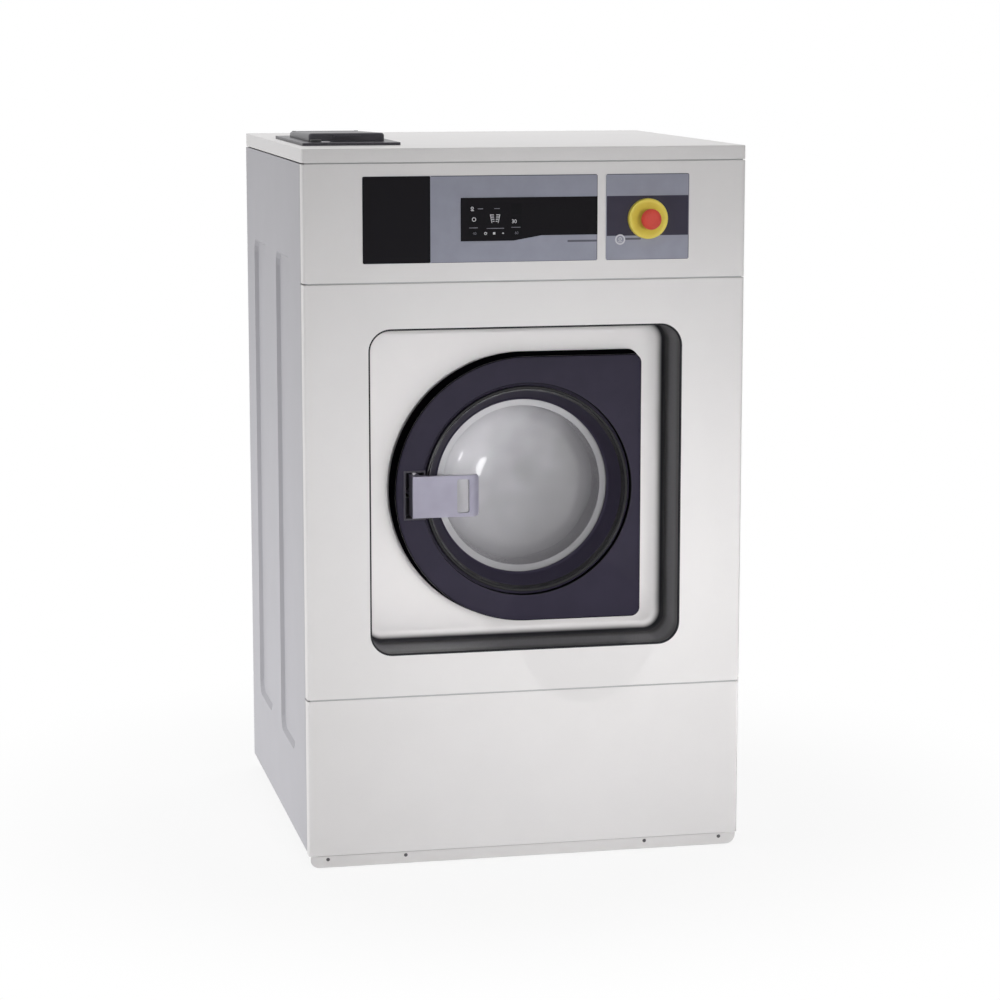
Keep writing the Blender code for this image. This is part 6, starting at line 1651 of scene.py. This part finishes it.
def soft_lamp(name, place, aim, width, height, power, spread=pi, mirrored=False):
    """A soft lamp that looks at a point. A mirrored one is round, and shows in gloss and nowhere else."""
    lamp = bpy.data.lights.new(name, "AREA")
    lamp.shape = "ELLIPSE" if mirrored else "RECTANGLE"
    lamp.size = width
    lamp.size_y = height
    lamp.energy = power
    lamp.spread = spread
    holder = as_object(name, lamp)
    holder.visible_glossy = holder.visible_transmission = mirrored
    holder.visible_diffuse = not mirrored
    holder.location = place
    holder.rotation_euler = (Vector(aim) - Vector(place)).to_track_quat("-Z", "Y").to_euler()


def seen_directly(tree):
    """1 where the camera looks, straight, mirrored or through glass, and 0 for light that falls on things."""
    path = add_node(tree, "ShaderNodeLightPath")
    straight = {0: (path, "Is Camera Ray"), 1: (path, "Is Glossy Ray")}
    seen = add_node(tree, "ShaderNodeMath", straight, operation="MAXIMUM")
    through = {0: (seen, "Value"), 1: (path, "Is Transmission Ray")}
    return add_node(tree, "ShaderNodeMath", through, operation="MAXIMUM")


def pale_floor():
    """A matt white floor that keeps the machine's shadow and fades into the white background."""
    pale = linear("#F2F2F2")
    made, tree, shader = shaded("pale_studio_floor", pale, 0.9, specular_ior_level=0.0)
    place = add_node(tree, "ShaderNodeTexCoord")
    tinted(tree, shader, pale, (spots(tree, place, 400, 2.0), "Fac"), 0.995, 1.0)
    # The shadow shows most within half a metre of the machine's middle and little beyond a metre.
    far = add_node(tree, "ShaderNodeVectorMath", {0: (place, "Object")}, operation="LENGTH")
    reach = {"Value": (far, "Value"), "From Min": 0.50, "From Max": 1.10, "To Min": 0.88, "To Max": 1.0}
    fade = add_node(tree, "ShaderNodeMapRange", reach, interpolation_type="SMOOTHSTEP")
    both = {0: (seen_directly(tree), "Value"), 1: (fade, "Result")}
    share = add_node(tree, "ShaderNodeMath", both, operation="MULTIPLY")
    glow = add_node(tree, "ShaderNodeEmission", {"Color": WHITE, "Strength": 1.0})
    blend = {0: (share, "Value"), 1: (shader, "BSDF"), 2: (glow, "Emission")}
    mixed = add_node(tree, "ShaderNodeMixShader", blend)
    tree.links.new(mixed.outputs["Shader"], tree.nodes["Material Output"].inputs["Surface"])
    return made


def studio_world(strength):
    """White to the camera and in reflections, and a gentle light from all round otherwise."""
    world = bpy.data.worlds.new("studio")
    world.use_nodes = True
    tree = world.node_tree
    background = tree.nodes["Background"]
    reach = {"Value": (seen_directly(tree), "Value"), "To Min": strength, "To Max": 1.0}
    level = add_node(tree, "ShaderNodeMapRange", reach)
    background.inputs["Color"].default_value = WHITE
    tree.links.new(level.outputs["Result"], background.inputs["Strength"])
    bpy.context.scene.world = world


class WASHER_OT_stage(Operator):
    """Sets the floor, the studio light and the camera"""

    bl_idname = "washer.stage"
    bl_label = "Stage"

    def execute(self, context):
        sizes = context.scene.washer_studio
        shape = skin([placed(circle((0.0, 0.0), sizes.floor, 96), "z", 0.0)], caps=False)
        shape.faces.new(list(shape.verts))
        floor = as_object("floor", as_mesh("floor", shape))
        floor.data.materials.append(pale_floor())
        floor.location.z = -HAIR

        # The front softbox looks at the front's brightest place, and the left one at the side's foot.
        front, side, glass = (0.10, FRONT_Y, 0.36), (-0.35, FRONT_Y + 0.35, 0.15), (AXIS_X, FRONT_Y, AXIS_Z)
        top, back = (0.0, FRONT_Y + 0.4, 0.5), (0.0, FRONT_Y + 0.6, 0.5)
        soft_lamp("front_softbox", (0.35, FRONT_Y - 3.2, 0.85), front, 1.2, 1.0, sizes.key, sizes.grid)
        # Two glows in the door's glass, the near one weaker
        soft_lamp("far_round_lamp", (0.79, -2.24, 0.10), glass, 0.20, 0.20, sizes.low, mirrored=True)
        soft_lamp("near_round_lamp", (0.94, -0.90, 0.07), glass, 0.14, 0.14, 0.6 * sizes.low, mirrored=True)
        soft_lamp("left_softbox", (-3.2, FRONT_Y + 0.4, 0.40), side, 1.6, 0.8, sizes.fill, sizes.fill_grid)
        soft_lamp("overhead_softbox", (0.0, FRONT_Y + 1.1, 3.2), top, 2.0, 1.8, sizes.top)
        soft_lamp("rear_softbox", (2.6, FRONT_Y + 3.2, 1.3), back, 1.8, 1.6, sizes.rear)
        studio_world(sizes.world)

        lens = bpy.data.cameras.new("camera")
        lens.lens = sizes.lens
        camera = as_object("camera", lens)
        camera.location = (-sizes.side, FRONT_Y - sizes.distance, sizes.height)
        camera.rotation_euler = (pi / 2 - sizes.pitch, 0.0, -sizes.yaw)
        context.scene.camera = camera
        context.scene.view_settings.view_transform = "Standard"
        return {"FINISHED"}


class WASHER_PT_parts(Panel):
    """Lists the operators, and the sizes and colours that they work from"""

    bl_idname = "WASHER_PT_parts"
    bl_label = "Washer-extractor"
    bl_space_type = "VIEW_3D"
    bl_region_type = "UI"
    bl_category = "Washer"

    def draw(self, context):
        for operator in OPERATORS:
            self.layout.operator(operator.bl_idname)
        for name in GROUPS:
            group = getattr(context.scene, name)
            box = self.layout.box()
            for key in group.bl_rna.properties.keys():
                if key not in {"rna_type", "name"}:
                    box.prop(group, key)


GROUPS = {
    "washer_front": WasherFrontSizes,
    "washer_trim": WasherTrimSizes,
    "washer_door": WasherDoorSizes,
    "washer_handle": WasherHandleSizes,
    "washer_controls": WasherControlSizes,
    "washer_stop": WasherStopSizes,
    "washer_soap": WasherSoapSizes,
    "washer_drum": WasherDrumSizes,
    "washer_screws": WasherScrewSizes,
    "washer_studio": WasherStudioSizes,
    "washer_colours": WasherColours,
}
OPERATORS = (
    WASHER_OT_finishes,
    WASHER_OT_front_panel,
    WASHER_OT_front_trim,
    WASHER_OT_door_cover,
    WASHER_OT_door_glass,
    WASHER_OT_door_handle,
    WASHER_OT_controls,
    WASHER_OT_emergency_stop,
    WASHER_OT_soap_dispenser,
    WASHER_OT_screws,
    WASHER_OT_drum,
    WASHER_OT_door_seal,
    WASHER_OT_stage,
)


def register():
    for kind in (*GROUPS.values(), *OPERATORS, WASHER_PT_parts):
        bpy.utils.register_class(kind)
    for name, kind in GROUPS.items():
        setattr(bpy.types.Scene, name, PointerProperty(type=kind))


def unregister():
    for name in GROUPS:
        delattr(bpy.types.Scene, name)
    for kind in (WASHER_PT_parts, *OPERATORS, *GROUPS.values()):
        bpy.utils.unregister_class(kind)


def main():
    register()
    bpy.ops.washer.finishes()
    bpy.ops.washer.front_panel()
    bpy.ops.washer.front_trim()
    bpy.ops.washer.door_cover()
    bpy.ops.washer.door_glass()
    bpy.ops.washer.door_handle()
    bpy.ops.washer.controls()
    bpy.ops.washer.emergency_stop()
    bpy.ops.washer.soap_dispenser()
    bpy.ops.washer.screws()
    bpy.ops.washer.drum()
    bpy.ops.washer.door_seal()
    bpy.ops.washer.stage()


if __name__ == "__main__":
    main()
